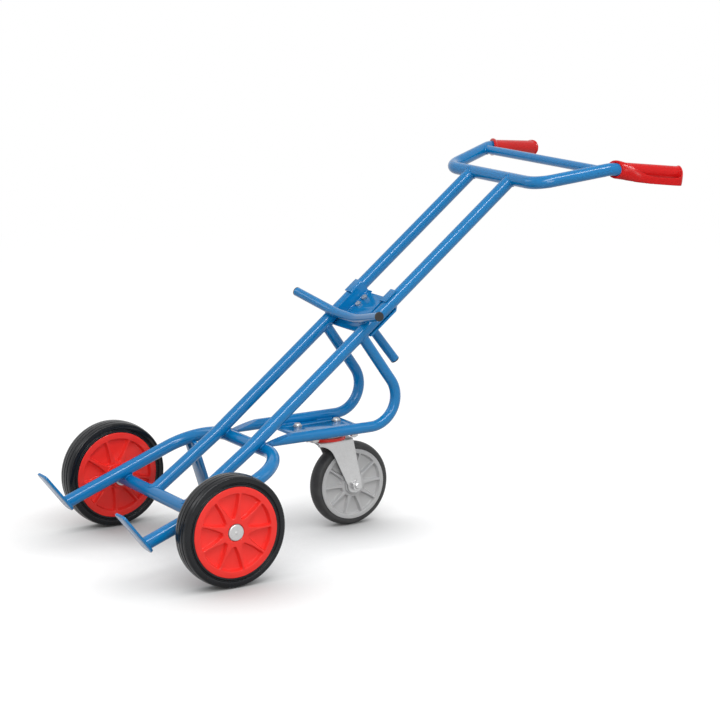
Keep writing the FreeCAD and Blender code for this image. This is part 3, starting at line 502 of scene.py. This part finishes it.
def remoulded(piece, grain, rounds):
    """Puts a piece on an even grid and lets its edges and corners run soft."""
    apply_modifier(piece, "REMESH", mode="VOXEL", voxel_size=grain)
    apply_modifier(piece, "SMOOTH", factor=0.5, iterations=rounds)
    return piece


def turned(outline, steps):
    """Body of revolution about the X axis: its outline, as (along, out), is drawn and spun.

    The outline is drawn larger by what two rounds of subdivision take off a ring of so few steps.
    """
    grow = 3 / (2 + math.cos(2 * math.pi / steps))
    outline = [(along, out * grow) for along, out in outline]
    first = Vector((outline[0][0], 0, outline[0][1]))
    bpy.ops.mesh.primitive_plane_add(size=merge_distance, location=(0, 0, 0))
    piece = active()
    edit(piece, "SELECT")
    bpy.ops.mesh.select_mode(type="VERT")
    bpy.ops.mesh.merge(type="CENTER")
    bpy.ops.transform.translate(value=first)
    here = first
    for along, out in outline[1:] + outline[:1]:
        point = Vector((along, 0, out))
        bpy.ops.mesh.extrude_region_move(TRANSFORM_OT_translate={"value": point - here})
        here = point
    bpy.ops.mesh.select_all(action="SELECT")
    bpy.ops.mesh.spin(steps=steps, angle=2 * math.pi, center=(0, 0, 0), axis=across)
    clean()
    done()
    return piece


def slide_spokes(piece, count, cells, root, tip):
    """Slides the rings' points round the wheel, so that each spoke flares from tip to root.

    root and tip are (distance from the axis, half width of the spoke there).
    """
    sector = 2 * math.pi / count
    for point in piece.data.vertices:
        out = math.hypot(point.co.y, point.co.z)
        angle = math.atan2(point.co.y, point.co.z) % (2 * math.pi)
        index = round(angle / sector * cells)
        spoke, step = divmod(index, cells)
        share = min(1.0, max(0.0, (out - root[0]) / (tip[0] - root[0])))
        width = tip[1] + (root[1] - tip[1]) * (1 - share) ** spoke_flare
        half = min(math.asin(min(1.0, width / out)), sector * half_spoke_share)
        if step == 0:
            angle = spoke * sector
        else:
            angle = spoke * sector + half + (sector - 2 * half) * (step - 1) / (cells - 2)
        point.co.y = out * math.sin(angle)
        point.co.z = out * math.cos(angle)


def select_pockets(piece, count, cells, near, far, face):
    """Selects the faces between the spokes, from near to far, on both sides of the wheel."""
    sector = 2 * math.pi / count
    bpy.ops.mesh.select_mode(type="FACE")
    done()
    for polygon in piece.data.polygons:
        centre = polygon.center
        out = math.hypot(centre.y, centre.z)
        flat = abs(abs(polygon.normal.x) - 1) < flat_tolerance
        on_face = abs(abs(centre.x) - face) < face * face_tolerance_share
        corners = [piece.data.vertices[index].co for index in polygon.vertices]
        turns = [math.atan2(co.y, co.z) % sector / sector for co in corners]
        on_spoke = any(not spoke_tolerance <= share <= 1 - spoke_tolerance for share in turns)
        polygon.select = flat and on_face and near < out < far and not on_spoke
    bpy.ops.object.mode_set(mode="EDIT")


def smoothed(piece):
    """Rounds a coarse piece off by two rounds of subdivision."""
    apply_modifier(piece, "SUBSURF", levels=2, render_levels=2)
    return piece


def spoked(outline, count, cells, root, tip, face, depth, draft, edge):
    """Moulded wheel: turned, with flared spokes and sloping recesses on both faces."""
    piece = turned(outline, count * cells)
    slide_spokes(piece, count, cells, root, tip)
    edit(piece)
    select_pockets(piece, count, cells, root[0], tip[0], face)
    bpy.ops.mesh.inset(thickness=edge, depth=0)
    bpy.ops.mesh.inset(thickness=draft, depth=-depth)
    bpy.ops.mesh.inset(thickness=edge * 2, depth=0)
    done()
    return smoothed(piece)


def both_sides(half):
    """A symmetric closed outline from the half of it that lies at positive distances along the axis."""
    return half + [(-along, out) for along, out in reversed(half) if along > 0]


def mirrored_copy(piece, name):
    """The right-hand twin of a left-hand piece."""
    twin = copy_of(piece, name)
    edit(twin, "SELECT")
    bpy.ops.transform.resize(value=(-1, 1, 1), center_override=(0, 0, 0))
    bpy.ops.mesh.normals_make_consistent(inside=False)
    done()
    return twin


def settle_pair(piece, name, slot, body, node):
    """Settles a left-hand piece and its right-hand twin, with the side added to their names.

    A body whose name ends in an underscore gets the side too.
    """
    fix_place(piece)
    twin = mirrored_copy(piece, name + "right")
    for side, one in (("left", piece), ("right", twin)):
        settle(one, name + side, slot, body + side if body.endswith("_") else body, node + side)


def roll(name, angle, axle):
    """Rolls a finished wheel about its axle."""
    edit(bpy.data.objects[name], "SELECT")
    bpy.ops.transform.rotate(value=angle, orient_axis="X", center_override=axle)
    done()


def rail_bend(seams):
    """Where the rails bend, in the middle plane."""
    return middle_of("axle") + leaning(seams.rail_foot_angle) * seams.rail_foot


def handle_arm(seams, side):
    """Corner of the handle on one side, and the direction of the arm that leaves it."""
    handle = rail_bend(seams) + leaning(seams.rail_angle) * seams.rail_length
    return handle + side * seams.handle_half * across, spreading(side * seams.arm_splay, seams.arm_rise)


def ring_about(axis, steps):
    """Directions outwards all round an axis."""
    side = axis.orthogonal().normalized()
    turns = [2 * math.pi * step / steps for step in range(steps)]
    return [math.cos(angle) * side + math.sin(angle) * axis.cross(side) for angle in turns]


def across_from(direction, axis):
    """The part of a direction that is square to an axis."""
    return direction - direction.dot(axis) * axis


def coped_seam(start, along, radius, steps, axis, wall):
    """Seam where a tube that leaves from start meets the wall of a tube along the axis through start."""
    points = []
    for out in ring_about(along, steps):
        point = start + radius * out
        away = across_from(point - start, axis)
        step = across_from(along, axis)
        middle = -away.dot(step) / step.dot(step)
        rest = math.sqrt(middle ** 2 - (away.dot(away) - wall ** 2) / step.dot(step))
        points.append(point + (middle + rest) * along)
    return points


def flat_seam(start, along, radius, steps, normal):
    """Seam where a tube along a direction ends on a plane through start."""
    points = []
    for out in ring_about(along, steps):
        point = start + radius * out
        points.append(point + (start - point).dot(normal) / along.dot(normal) * along)
    return points


def crossing_seam(touch, normal, steps, first, second, seat, gap):
    """Seam round the place where one tube lies on another.

    first is the upper tube and second the lower one, each as (axis, radius).
    """

    def depth(offset, tube):
        away = offset.dot(tube[0].cross(normal))
        return tube[1] - math.sqrt(tube[1] ** 2 - away ** 2)

    points = []
    for out in ring_about(normal, steps):
        near, far = 0.0, min(first[1], second[1])
        for _ in range(halvings):
            reach = (near + far) / 2
            room = depth(out * reach, first) + depth(out * reach, second) - seat
            near, far = (reach, far) if room < gap else (near, reach)
        lift = (depth(out * near, first) - depth(out * near, second)) / 2
        points.append(touch + out * near + normal * lift)
    return points


def bead(points, seams, closed=True):
    """Weld bead with its scales, along a row of points."""
    bpy.ops.mesh.primitive_circle_add(vertices=len(points), radius=1, location=(0, 0, 0))
    piece = active()
    for vertex, point in zip(piece.data.vertices, points):
        vertex.co = point
    if not closed:
        edit(piece)
        bpy.ops.mesh.select_mode(type="EDGE")
        done()
        for edge in piece.data.edges:
            edge.select = set(edge.vertices) == {0, len(points) - 1}
        bpy.ops.object.mode_set(mode="EDIT")
        bpy.ops.mesh.delete(type="EDGE")
        done()
    bpy.ops.object.convert(target="CURVE")
    line = active().data
    line.bevel_depth = seams.bead
    line.bevel_resolution = 2
    line.use_fill_caps = not closed
    for index, point in enumerate(line.splines[0].points):
        point.radius = 1 + seams.ripple * scale_wave[index % len(scale_wave)]
    bpy.ops.object.convert(target="MESH")
    return active()


class OBJECT_OT_trolley_finishes(bpy.types.Operator):
    """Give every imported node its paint, plastic, rubber or plate"""

    bl_idname = "object.trolley_finishes"
    bl_label = "Finishes"

    def execute(self, context):
        colours = context.scene.trolley_colours
        powder_coat(colours)
        moulded("red_plastic", colours.red, gloss=0.13, grain=0.015, shine=0.22)
        tyre_rubber("tyre_rubber", colours.rubber, gloss=0.13)
        moulded("grey_plastic", colours.grey, gloss=0.38, grain=0.10)
        moulded("black_plastic", colours.black, gloss=0.40, grain=0.12)
        moulded("bush_plastic", colours.natural, gloss=0.40, grain=0.08)
        zinc_plate(colours)
        tyre_rubber("castor_rubber", colours.castor_rubber, gloss=0.45)
        moulded("grip_plastic", colours.grip, gloss=0.15, grain=0.015, shine=0.16)
        for part in frame["record"]["subparts"]:
            put_finish(nodes[part["node"]], part["material_slot"])
        return {"FINISHED"}


# From a wheel's middle to its rim's face, and the radii between which the spokes run.
main_face, main_spoke_start, main_spoke_end = 0.026, 0.0305, 0.0876
castor_face, castor_spoke_start, castor_spoke_end = 0.021, 0.0285, 0.0748


class OBJECT_OT_trolley_wheels(bpy.types.Operator):
    """Mould the red rims, turn the tyres and press the hub caps"""

    bl_idname = "object.trolley_wheels"
    bl_label = "Main wheels"

    def execute(self, context):
        wheels = context.scene.trolley_wheels
        hub = middle_of("wheel_tyre_left")
        rim = self.rim(wheels)
        rim.location = hub
        settle_pair(rim, "rim_", "red_plastic", "wheel_", "wheel_rim_")
        roll("rim_left", wheels.left_roll, hub)
        roll("rim_right", wheels.right_roll, hub)
        tyre = self.tyre(wheels)
        tyre.location = hub
        settle_pair(tyre, "tyre_", "tyre_rubber", "wheel_", "wheel_tyre_")
        cap = self.cap(wheels)
        cap.location = (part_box("hub_cap_left")[0].x, hub.y, hub.z)
        settle_pair(cap, "cap_", "zinc_steel", "frame", "hub_cap_")
        return {"FINISHED"}

    def rim(self, wheels):
        rings = (0.027, 0.0308, 0.0355, 0.043, 0.053, 0.063, 0.073, 0.0810, 0.0872, 0.0945)
        face = [(main_face, out) for out in rings]
        flange = [(0.0255, 0.1003), (0.0248, 0.101), (0.022, 0.101), (0.022, 0.095)]
        back = [(-along, out) for along, out in reversed(face[1:] + flange)]
        recess = [(0.018, 0.014), (0.018, 0.0190), (0.0185, 0.0195), (0.0254, 0.0195), (main_face, 0.0203)]
        hub = [(-main_face, 0.0285), (-0.0275, 0.027), (-0.049, 0.027), (-0.050, 0.026), (-0.050, 0.014)]
        return spoked(recess + face + flange + back + hub, wheels.spokes, wheels.cells,
                      (main_spoke_start, wheels.spoke_root), (main_spoke_end, wheels.spoke_tip), main_face,
                      wheels.pocket_depth, wheels.pocket_draft, wheels.edge)

    def tyre(self, wheels):
        seat = [(0.0215, 0.0950), (0.0219, 0.0954), (0.0219, 0.1007), (0.0222, 0.1011), (0.0241, 0.1011)]
        wall = [(0.0248, 0.1015), (0.0251, 0.1042), (0.0248, 0.1052), (0.0226, 0.1062), (0.0219, 0.1072),
                (0.0219, 0.1082), (0.0226, 0.1090), (0.0243, 0.1098), (0.0249, 0.1107), (0.0251, 0.1150),
                (0.0249, 0.1183), (0.0243, 0.1204), (0.0231, 0.1218), (0.0212, 0.1227), (0.0180, 0.1234)]
        groove = [(0.0133, 0.1240), (0.0129, 0.1237), (0.0126, 0.1222), (0.0122, 0.1219),
                  (0.0108, 0.1219), (0.0104, 0.1222), (0.0101, 0.1240), (0.0097, 0.12445)]
        crown = [(0.0060, 0.1247), (0.0040, 0.12485), (0.0018, 0.1249), (0.0014, 0.1246), (0.0011, 0.1230),
                 (0.0007, 0.1227)]
        return smoothed(turned(both_sides(seat + wall + groove + crown), wheels.turns))

    def cap(self, wheels):
        outline = [(0.0, 0.0105), (0.0, 0.0178), (0.0007, 0.0185), (0.0040, 0.0185), (0.0058, 0.0178),
                   (0.0066, 0.0165), (0.0068, 0.0140), (0.00675, 0.0100), (0.0067, 0.0055), (0.0067, 0.0036),
                   (0.0071, 0.0029), (0.0075, 0.0020), (0.0076, 0.0), (0.0052, 0.0), (0.0052, 0.0098)]
        return smoothed(turned(outline, wheels.turns))


class OBJECT_OT_trolley_castor(bpy.types.Operator):
    """Mould the castor's grey rim, turn its tyre and press its fork"""

    bl_idname = "object.trolley_castor"
    bl_label = "Castor"

    def execute(self, context):
        wheels, sheet = context.scene.trolley_wheels, context.scene.trolley_sheet
        hub = middle_of("castor_rim")
        for piece, name, slot in ((self.rim(wheels), "castor_rim", "grey_plastic"),
                                  (self.tyre(wheels), "castor_tyre", "tyre_rubber")):
            piece.location = hub
            settle(piece, name + "_dressed", slot, "castor_wheel", name)
        put_finish(bpy.data.objects["castor_tyre_dressed"], "castor_rubber")
        roll("castor_rim_dressed", wheels.castor_roll, hub)
        fork = remoulded(merged_copy("castor_fork"), sheet.fork_grain, sheet.fork_rounds)
        settle(fork, "castor_fork_dressed", "zinc_steel", "castor", "castor_fork", smooth=60)
        return {"FINISHED"}

    def rim(self, wheels):
        rings = (0.0245, 0.0270, 0.0290, 0.034, 0.042, 0.050, 0.058, 0.065, 0.071, 0.0745, 0.079)
        face = [(castor_face, out) for out in rings]
        half = [(0.026, 0.0130), (0.026, 0.0222), (0.0252, 0.0230), (0.0218, 0.0232)] + face
        half += [(0.0206, 0.0828), (0.0199, 0.0835), (0.017, 0.0835), (0.017, 0.0775)]
        return spoked(both_sides(half), wheels.castor_spokes, wheels.cells,
                      (castor_spoke_start, wheels.castor_spoke_root),
                      (castor_spoke_end, wheels.castor_spoke_tip), castor_face, wheels.castor_pocket_depth,
                      wheels.pocket_draft, wheels.edge)

    def tyre(self, wheels):
        half = [(0.0165, 0.0775), (0.0169, 0.0779), (0.0169, 0.0832), (0.0172, 0.0836), (0.0190, 0.0836),
                (0.0194, 0.0840), (0.0195, 0.0880), (0.0190, 0.0915), (0.0176, 0.0940), (0.0150, 0.0962),
                (0.0115, 0.0981), (0.0075, 0.0993), (0.0035, 0.0999), (0.0, 0.1001)]
        return smoothed(turned(both_sides(half), wheels.turns))


# Sections of the knuckle guard from the collar to the end plate, in the grip's own frame: (out, along) of
# the section's middle, (out, along) of its two edges, and the heights of the lower and the upper edge.
guard_sections = (
    ((0.0215, 0.0239), (0.0000, 0.0110), -0.0215, 0.0215),
    ((0.0222, 0.0285), (0.0030, 0.0190), -0.0218, 0.0217),
    ((0.0252, 0.0350), (0.0090, 0.0300), -0.0224, 0.0200),
    ((0.0305, 0.0445), (0.0200, 0.0420), -0.0230, 0.0145),
    ((0.0358, 0.0550), (0.0305, 0.0540), -0.0236, 0.0070),
    ((0.0392, 0.0670), (0.0365, 0.0665), -0.0240, 0.0000),
    ((0.0406, 0.0800), (0.0394, 0.0800), -0.0242, -0.0048),
    ((0.0410, 0.1050), (0.0402, 0.1050), -0.0244, -0.0068),
    ((0.0410, 0.1350), (0.0402, 0.1350), -0.0246, -0.0070),
    ((0.0408, 0.1540), (0.0400, 0.1540), -0.0247, -0.0060),
    ((0.0385, 0.1640), (0.0379, 0.1635), -0.0247, -0.0020),
    ((0.0325, 0.1695), (0.0320, 0.1682), -0.0247, 0.0060),
    ((0.0225, 0.1720), (0.0222, 0.1698), -0.0244, 0.0145),
    ((0.0090, 0.1732), (0.0088, 0.1700), -0.0234, 0.0203),
    ((-0.0070, 0.1732), (-0.0070, 0.1700), -0.0212, 0.0210),
    ((-0.0165, 0.1725), (-0.0163, 0.1705), -0.0155, 0.0155),
    ((-0.0212, 0.1712), (-0.0210, 0.1708), -0.0065, 0.0065),
)


class OBJECT_OT_trolley_grips(bpy.types.Operator):
    """Mould the red grips with their knuckle guards"""

    bl_idname = "object.trolley_grips"
    bl_label = "Grips"

    def execute(self, context):
        grips, seams = context.scene.trolley_grips, context.scene.trolley_seams
        pick(self.sleeve(grips), self.collar(grips), self.guard(grips))
        bpy.ops.object.join()
        grip = remoulded(active(), grips.grain, grips.rounds)
        corner, arm = handle_arm(seams, sides["left"])
        along = spreading(grips.splay, -grips.drop)
        out = along.cross(up).normalized()
        turn_to = Matrix((out, along, out.cross(along))).transposed()
        grip.matrix_world = Matrix.Translation(corner + arm * seams.arm_length) @ turn_to.to_4x4()
        settle_pair(grip, "grip_dressed_", "red_plastic", "frame", "grip_")
        for side in sides:
            put_finish(bpy.data.objects["grip_dressed_" + side], "grip_plastic")
        return {"FINISHED"}

    def slanted(self, outline, grips):
        """Turns an outline to a body that lies along the grip and slants its mouth."""
        piece = turned(outline, grips.turns)
        piece.rotation_euler = (0, 0, math.pi / 2)
        fix_place(piece)
        for point in piece.data.vertices:
            if point.co.y < grips.mouth:
                point.co.y += grips.slant * point.co.x
        return piece

    def sleeve(self, grips):
        front, middle, bore_end, end = 0.0120, 0.0600, 0.1632, 0.1680
        outer = [(front, grips.sleeve), (middle, grips.sleeve), (end, grips.sleeve), (end, 0.0)]
        inner = [(bore_end, 0.0), (bore_end, grips.bore), (middle, grips.bore)]
        return self.slanted([(front, grips.bore)] + outer + inner, grips)

    def collar(self, grips):
        front, edge, back = 0.0110, 0.0190, 0.0220
        outer = [(front, grips.collar), (edge, grips.collar), (back, grips.sleeve)]
        return self.slanted([(front, grips.bore)] + outer + [(back, grips.bore)], grips)

    def guard(self, grips):
        """Band that leaves the collar, flares out, runs back and turns in as the end plate."""
        last, steps = len(guard_sections) - 1, 8
        bpy.ops.mesh.primitive_grid_add(x_subdivisions=last, y_subdivisions=steps, size=2, location=(0, 0, 0))
        piece = active()
        for point in piece.data.vertices:
            middle, edge, low, high = guard_sections[round((point.co.x + 1) / 2 * last)]
            across_band = point.co.y * math.pi / 2
            place = Vector(edge).lerp(Vector(middle), math.cos(across_band))
            point.co = (*place, (low + high) / 2 + (high - low) / 2 * math.sin(across_band))
        apply_modifier(smoothed(piece), "SOLIDIFY", thickness=grips.wall, offset=-1, use_even_offset=True)
        return piece


# Nodes of sheet and flat bar whose edges are rounded, with their slots and bodies.
sheet_pieces = (
    ("toe_plate_left", "blue_paint", "frame"),
    ("toe_plate_right", "blue_paint", "frame"),
    ("tread_bar", "blue_paint", "frame"),
    ("mount_plate", "blue_paint", "frame"),
    ("castor_plate", "zinc_steel", "frame"),
    ("carriage_channel", "blue_paint", "carriage"),
    ("carriage_plate", "blue_paint", "carriage"),
)


class OBJECT_OT_trolley_sheet(bpy.types.Operator):
    """Round the edges of the plates, bars and folded sheet"""

    bl_idname = "object.trolley_sheet"
    bl_label = "Sheet metal"

    def execute(self, context):
        edge = context.scene.trolley_sheet.sheet_edge
        for node, slot, body in sheet_pieces:
            settle(softened(node, edge), node + "_dressed", slot, body, node)
        return {"FINISHED"}


class OBJECT_OT_trolley_seams(bpy.types.Operator):
    """Lay the weld seams where the frame's tubes and plates meet"""

    bl_idname = "object.trolley_seams"
    bl_label = "Weld seams"

    def execute(self, context):
        seams = context.scene.trolley_seams
        axle = middle_of("axle")
        rail, over_rail = leaning(seams.rail_angle), leaning(seams.rail_angle + math.pi / 2)
        fork, over_fork = leaning(seams.fork_slope), leaning(seams.fork_slope + math.pi / 2)
        prong = axle + over_fork * (2 * seams.tube - seams.saddle)
        crossbar = prong + fork * seams.fork_tail
        foot = leaning(seams.rail_foot_angle)
        bend = rail_bend(seams)
        beads = []
        cross_tube = (across, seams.tube)
        for side in sides.values():
            at_rail = side * seams.rail_half * across
            at_prong = side * seams.prong_half * across
            on_rail = bend + at_rail
            toe = prong - fork * seams.prong + at_prong
            leg, leg_way = on_rail + rail * seams.leg_distance, leaning(-seams.leg_slope)
            beads += [bead(points, seams) for points in (
                self.coped(seams, axle + at_rail, foot, seams.tube, across),
                self.coped(seams, on_rail + rail * seams.rail_length, -rail, seams.tube, across),
                self.coped(seams, leg, leg_way, seams.leg, rail),
                self.brace(seams, side),
                self.crossing(seams, crossbar + at_rail, over_rail, (rail, seams.tube), cross_tube),
                self.crossing(seams, axle + at_prong, over_fork, (fork, seams.tube), cross_tube),
                self.cradle(seams, on_rail + rail * seams.cradle_distance, side, over_rail, rail),
                flat_seam(toe, fork, seams.tube, self.steps(seams, seams.tube), rail),
                self.nose(seams, crossbar + at_rail))]
            beads += self.stitches(seams, side)
        pick(*beads)
        bpy.ops.object.join()
        settle(active(), "weld_seams", "blue_paint", "frame", smooth=60)
        push = bend + rail * seams.push_distance - over_rail * seams.push_back
        ring = flat_seam(push, over_rail, seams.slim, self.steps(seams, seams.slim), over_rail)
        settle(bead(ring, seams), "push_handle_seam", "blue_paint", "carriage", smooth=60)
        return {"FINISHED"}

    def steps(self, seams, radius):
        """Points round a seam, a whole number of scales."""
        return len(scale_wave) * round(2 * math.pi * radius / seams.scale_length)

    def coped(self, seams, start, along, radius, axis):
        return coped_seam(start, along, radius, self.steps(seams, radius), axis, seams.tube)

    def brace(self, seams, side):
        """Seam of the brace on one of the handle's arms."""
        corner, arm = handle_arm(seams, side)
        place = corner + arm * seams.arm_length * seams.brace_share
        return self.coped(seams, place, -side * across, seams.slim, arm)

    def crossing(self, seams, lower, normal, upper_tube, lower_tube):
        touch = lower + normal * (lower_tube[1] - seams.saddle / 2)
        steps = self.steps(seams, min(upper_tube[1], lower_tube[1]) * crossing_share)
        gap = bead_gap_share * seams.bead
        return crossing_seam(touch, normal, steps, upper_tube, lower_tube, seams.saddle, gap)

    def cradle(self, seams, place, side, over_rail, rail):
        """Seam where one arm of the cradle bar, rising outwards, lies on a rail."""
        rise = side * seams.cradle_rise
        arm = math.cos(rise) * across + math.sin(rise) * over_rail
        normal = math.cos(rise) * over_rail - math.sin(rise) * across
        return self.crossing(seams, place, normal, (arm, seams.slim), (rail, seams.tube))

    def nose(self, seams, crossbar):
        """Seam of a leg's pressed nose on the crossbar."""
        points = []
        steps = self.steps(seams, seams.leg)
        top = crossbar.z + seams.nose_height
        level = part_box("castor_leg_left")[0].z + seams.leg
        for step in range(steps):
            angle = 2 * math.pi * step / steps
            height = min(level + seams.leg * math.cos(angle), top)
            back = math.sqrt(seams.tube ** 2 - (height - crossbar.z) ** 2)
            points.append(Vector((crossbar.x + seams.leg * math.sin(angle), crossbar.y + back, height)))
        return points

    def stitches(self, seams, side):
        """Short seams between the mount plate's edge and a leg."""
        low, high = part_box("mount_plate")
        drop = seams.leg - (high.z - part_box("castor_leg_left")[0].z)
        reach = seams.rail_half - math.sqrt(seams.leg ** 2 - drop ** 2)
        count = len(scale_wave) * round(seams.stitch / seams.scale_length)
        lines = []
        for middle in stitch_shares:
            start = low.y + (high.y - low.y) * middle - seams.stitch / 2
            places = [start + seams.stitch * step / count for step in range(count + 1)]
            points = [Vector((side * reach, place, high.z)) for place in places]
            lines.append(bead(points, seams, closed=False))
        return lines


# Lamps with their places, whether their length follows the rails, and their widths and lengths. Their powers
# are the stage's values of the same names.
lamp_table = (
    ("key", (1.9, -0.75, 2.8), True, 0.6, 3.2),
    ("strip", (1.9, -0.75, 2.8), True, 0.15, 3.2),
    ("left", (-1.6, -2.6, 2.6), False, 1.6, 1.6),
    ("back", (2.6, 2.8, 2.2), False, 2.0, 2.0),
    ("front", (3.6, -1.4, 1.5), False, 1.4, 1.4),
)


class OBJECT_OT_trolley_stage(bpy.types.Operator):
    """Set up the floor, the lamps, the white surround and the camera"""

    bl_idname = "object.trolley_stage"
    bl_label = "Stage"

    def execute(self, context):
        stage = context.scene.trolley_stage
        self.surround(context.scene, stage)
        self.floor(stage)
        self.lamps(stage)
        self.camera(context.scene, stage)
        context.scene.view_settings.view_transform = "Standard"
        return {"FINISHED"}

    def seen(self, finish):
        """1 for rays that show the surround: from the camera, or by way of gloss or glass."""
        path = finish.node("ShaderNodeLightPath", {}, {}, "Is Camera Ray")
        outputs = path.socket.node.outputs
        glossy = Wire(finish, outputs["Is Glossy Ray"])
        through = Wire(finish, outputs["Is Transmission Ray"])
        return path.most(glossy).most(through)

    def surround(self, scene, stage):
        scene.world = bpy.data.worlds.new("studio")
        finish = Finish(scene.world)
        strength = stage.ambient + (1 - stage.ambient) * self.seen(finish)
        background = finish.tree.nodes["Background"]
        finish.feed(background.inputs["Color"], (1, 1, 1, 1))
        finish.feed(background.inputs["Strength"], strength)

    def floor(self, stage):
        bpy.ops.mesh.primitive_circle_add(vertices=96, radius=stage.floor_radius, fill_type="NGON",
                                          location=(0, 0, 0))
        floor = active()
        floor.name = "floor"
        finish = new_finish("pale_floor")
        finish.surface(Base_Color=(*[stage.floor_tone] * 3, 1), Roughness=0.9)
        shader = Wire(finish, finish.tree.nodes["Principled BSDF"].outputs[0])
        length = finish.node("ShaderNodeVectorMath", {"operation": "LENGTH"}, {0: finish.place()}, "Value")
        far = length.clipped(stage.far_start, stage.far_end)
        seen = self.seen(finish)
        # The floor's glow, the white that camera and gloss see, is darkened near the trolley by ambient
        # occlusion squared: a painted contact shadow, besides the real shadows that the lamps cast on its lit
        # colour.
        painted_shadow_ao = finish.node("ShaderNodeAmbientOcclusion", {"samples": stage.painted_shadow_rays},
                               {"Distance": stage.painted_shadow_reach}, "AO")
        glow_with_painted_shadow = seen * painted_shadow_ao * painted_shadow_ao * stage.floor_glow
        glow = finish.node("ShaderNodeEmission", {}, {"Color": glow_with_painted_shadow})
        near = finish.node("ShaderNodeAddShader", {}, {0: shader, 1: glow})
        white = finish.node("ShaderNodeEmission", {}, {"Color": seen})
        both = finish.node("ShaderNodeMixShader", {}, {0: far, 1: near, 2: white})
        finish.feed(finish.tree.nodes["Material Output"].inputs["Surface"], both)
        floor.data.materials.append(finish.owner)

    def lamps(self, stage):
        middle = (cad_box[0] + cad_box[1]) / 2
        rails = leaning(bpy.context.scene.trolley_seams.rail_angle)
        for name, place, follows_rails, width, length in lamp_table:
            bpy.ops.object.light_add(type="AREA", location=place)
            lamp = active()
            lamp.name = name
            lamp.data.shape = "RECTANGLE"
            lamp.data.size = width
            lamp.data.size_y = length
            lamp.data.energy = getattr(stage, name)
            lamp.visible_diffuse = name != "strip"
            towards = (Vector(place) - middle).normalized()
            length_way = across_from(rails if follows_rails else up, towards).normalized()
            turn_to = Matrix((length_way.cross(towards), length_way, towards)).transposed()
            lamp.rotation_euler = turn_to.to_euler()

    def camera(self, scene, stage):
        bpy.ops.object.camera_add()
        camera = active()
        camera.name = "photograph"
        camera.data.lens = stage.lens
        camera.data.clip_end = stage.sight
        look = Euler((math.pi / 2 - stage.dip, 0, stage.heading)).to_matrix().to_4x4()
        camera.matrix_world = Matrix.Translation(stage.eye) @ look @ Matrix.Rotation(stage.roll, 4, "Z")
        scene.camera = camera


class VIEW3D_PT_trolley(bpy.types.Panel):
    """Lists the trolley's pieces and settings"""

    bl_label = "Drum trolley"
    bl_idname = "VIEW3D_PT_trolley"
    bl_space_type = "VIEW_3D"
    bl_region_type = "UI"
    bl_category = "Trolley"

    def draw(self, context):
        column = self.layout.column()
        for operator in operators:
            column.operator(operator.bl_idname)
        for name, group in settings_groups.items():
            for key in group.__annotations__:
                column.prop(getattr(context.scene, name), key)


settings_groups = {
    "trolley_colours": TrolleyColours,
    "trolley_wheels": TrolleyWheels,
    "trolley_grips": TrolleyGrips,
    "trolley_sheet": TrolleySheet,
    "trolley_seams": TrolleySeams,
    "trolley_stage": TrolleyStage,
}
operators = (
    OBJECT_OT_trolley_finishes,
    OBJECT_OT_trolley_wheels,
    OBJECT_OT_trolley_castor,
    OBJECT_OT_trolley_grips,
    OBJECT_OT_trolley_sheet,
    OBJECT_OT_trolley_seams,
    OBJECT_OT_trolley_stage,
)
classes = (*settings_groups.values(), *operators, VIEW3D_PT_trolley)


def register():
    for item in classes:
        bpy.utils.register_class(item)
    for name, group in settings_groups.items():
        setattr(bpy.types.Scene, name, bpy.props.PointerProperty(type=group))


def unregister():
    for name in settings_groups:
        delattr(bpy.types.Scene, name)
    for item in reversed(classes):
        bpy.utils.unregister_class(item)


def main():
    register()
    bpy.ops.object.trolley_finishes()
    bpy.ops.object.trolley_wheels()
    bpy.ops.object.trolley_castor()
    bpy.ops.object.trolley_grips()
    bpy.ops.object.trolley_sheet()
    bpy.ops.object.trolley_seams()
    bpy.ops.object.trolley_stage()


if __name__ == "__main__":
    main()
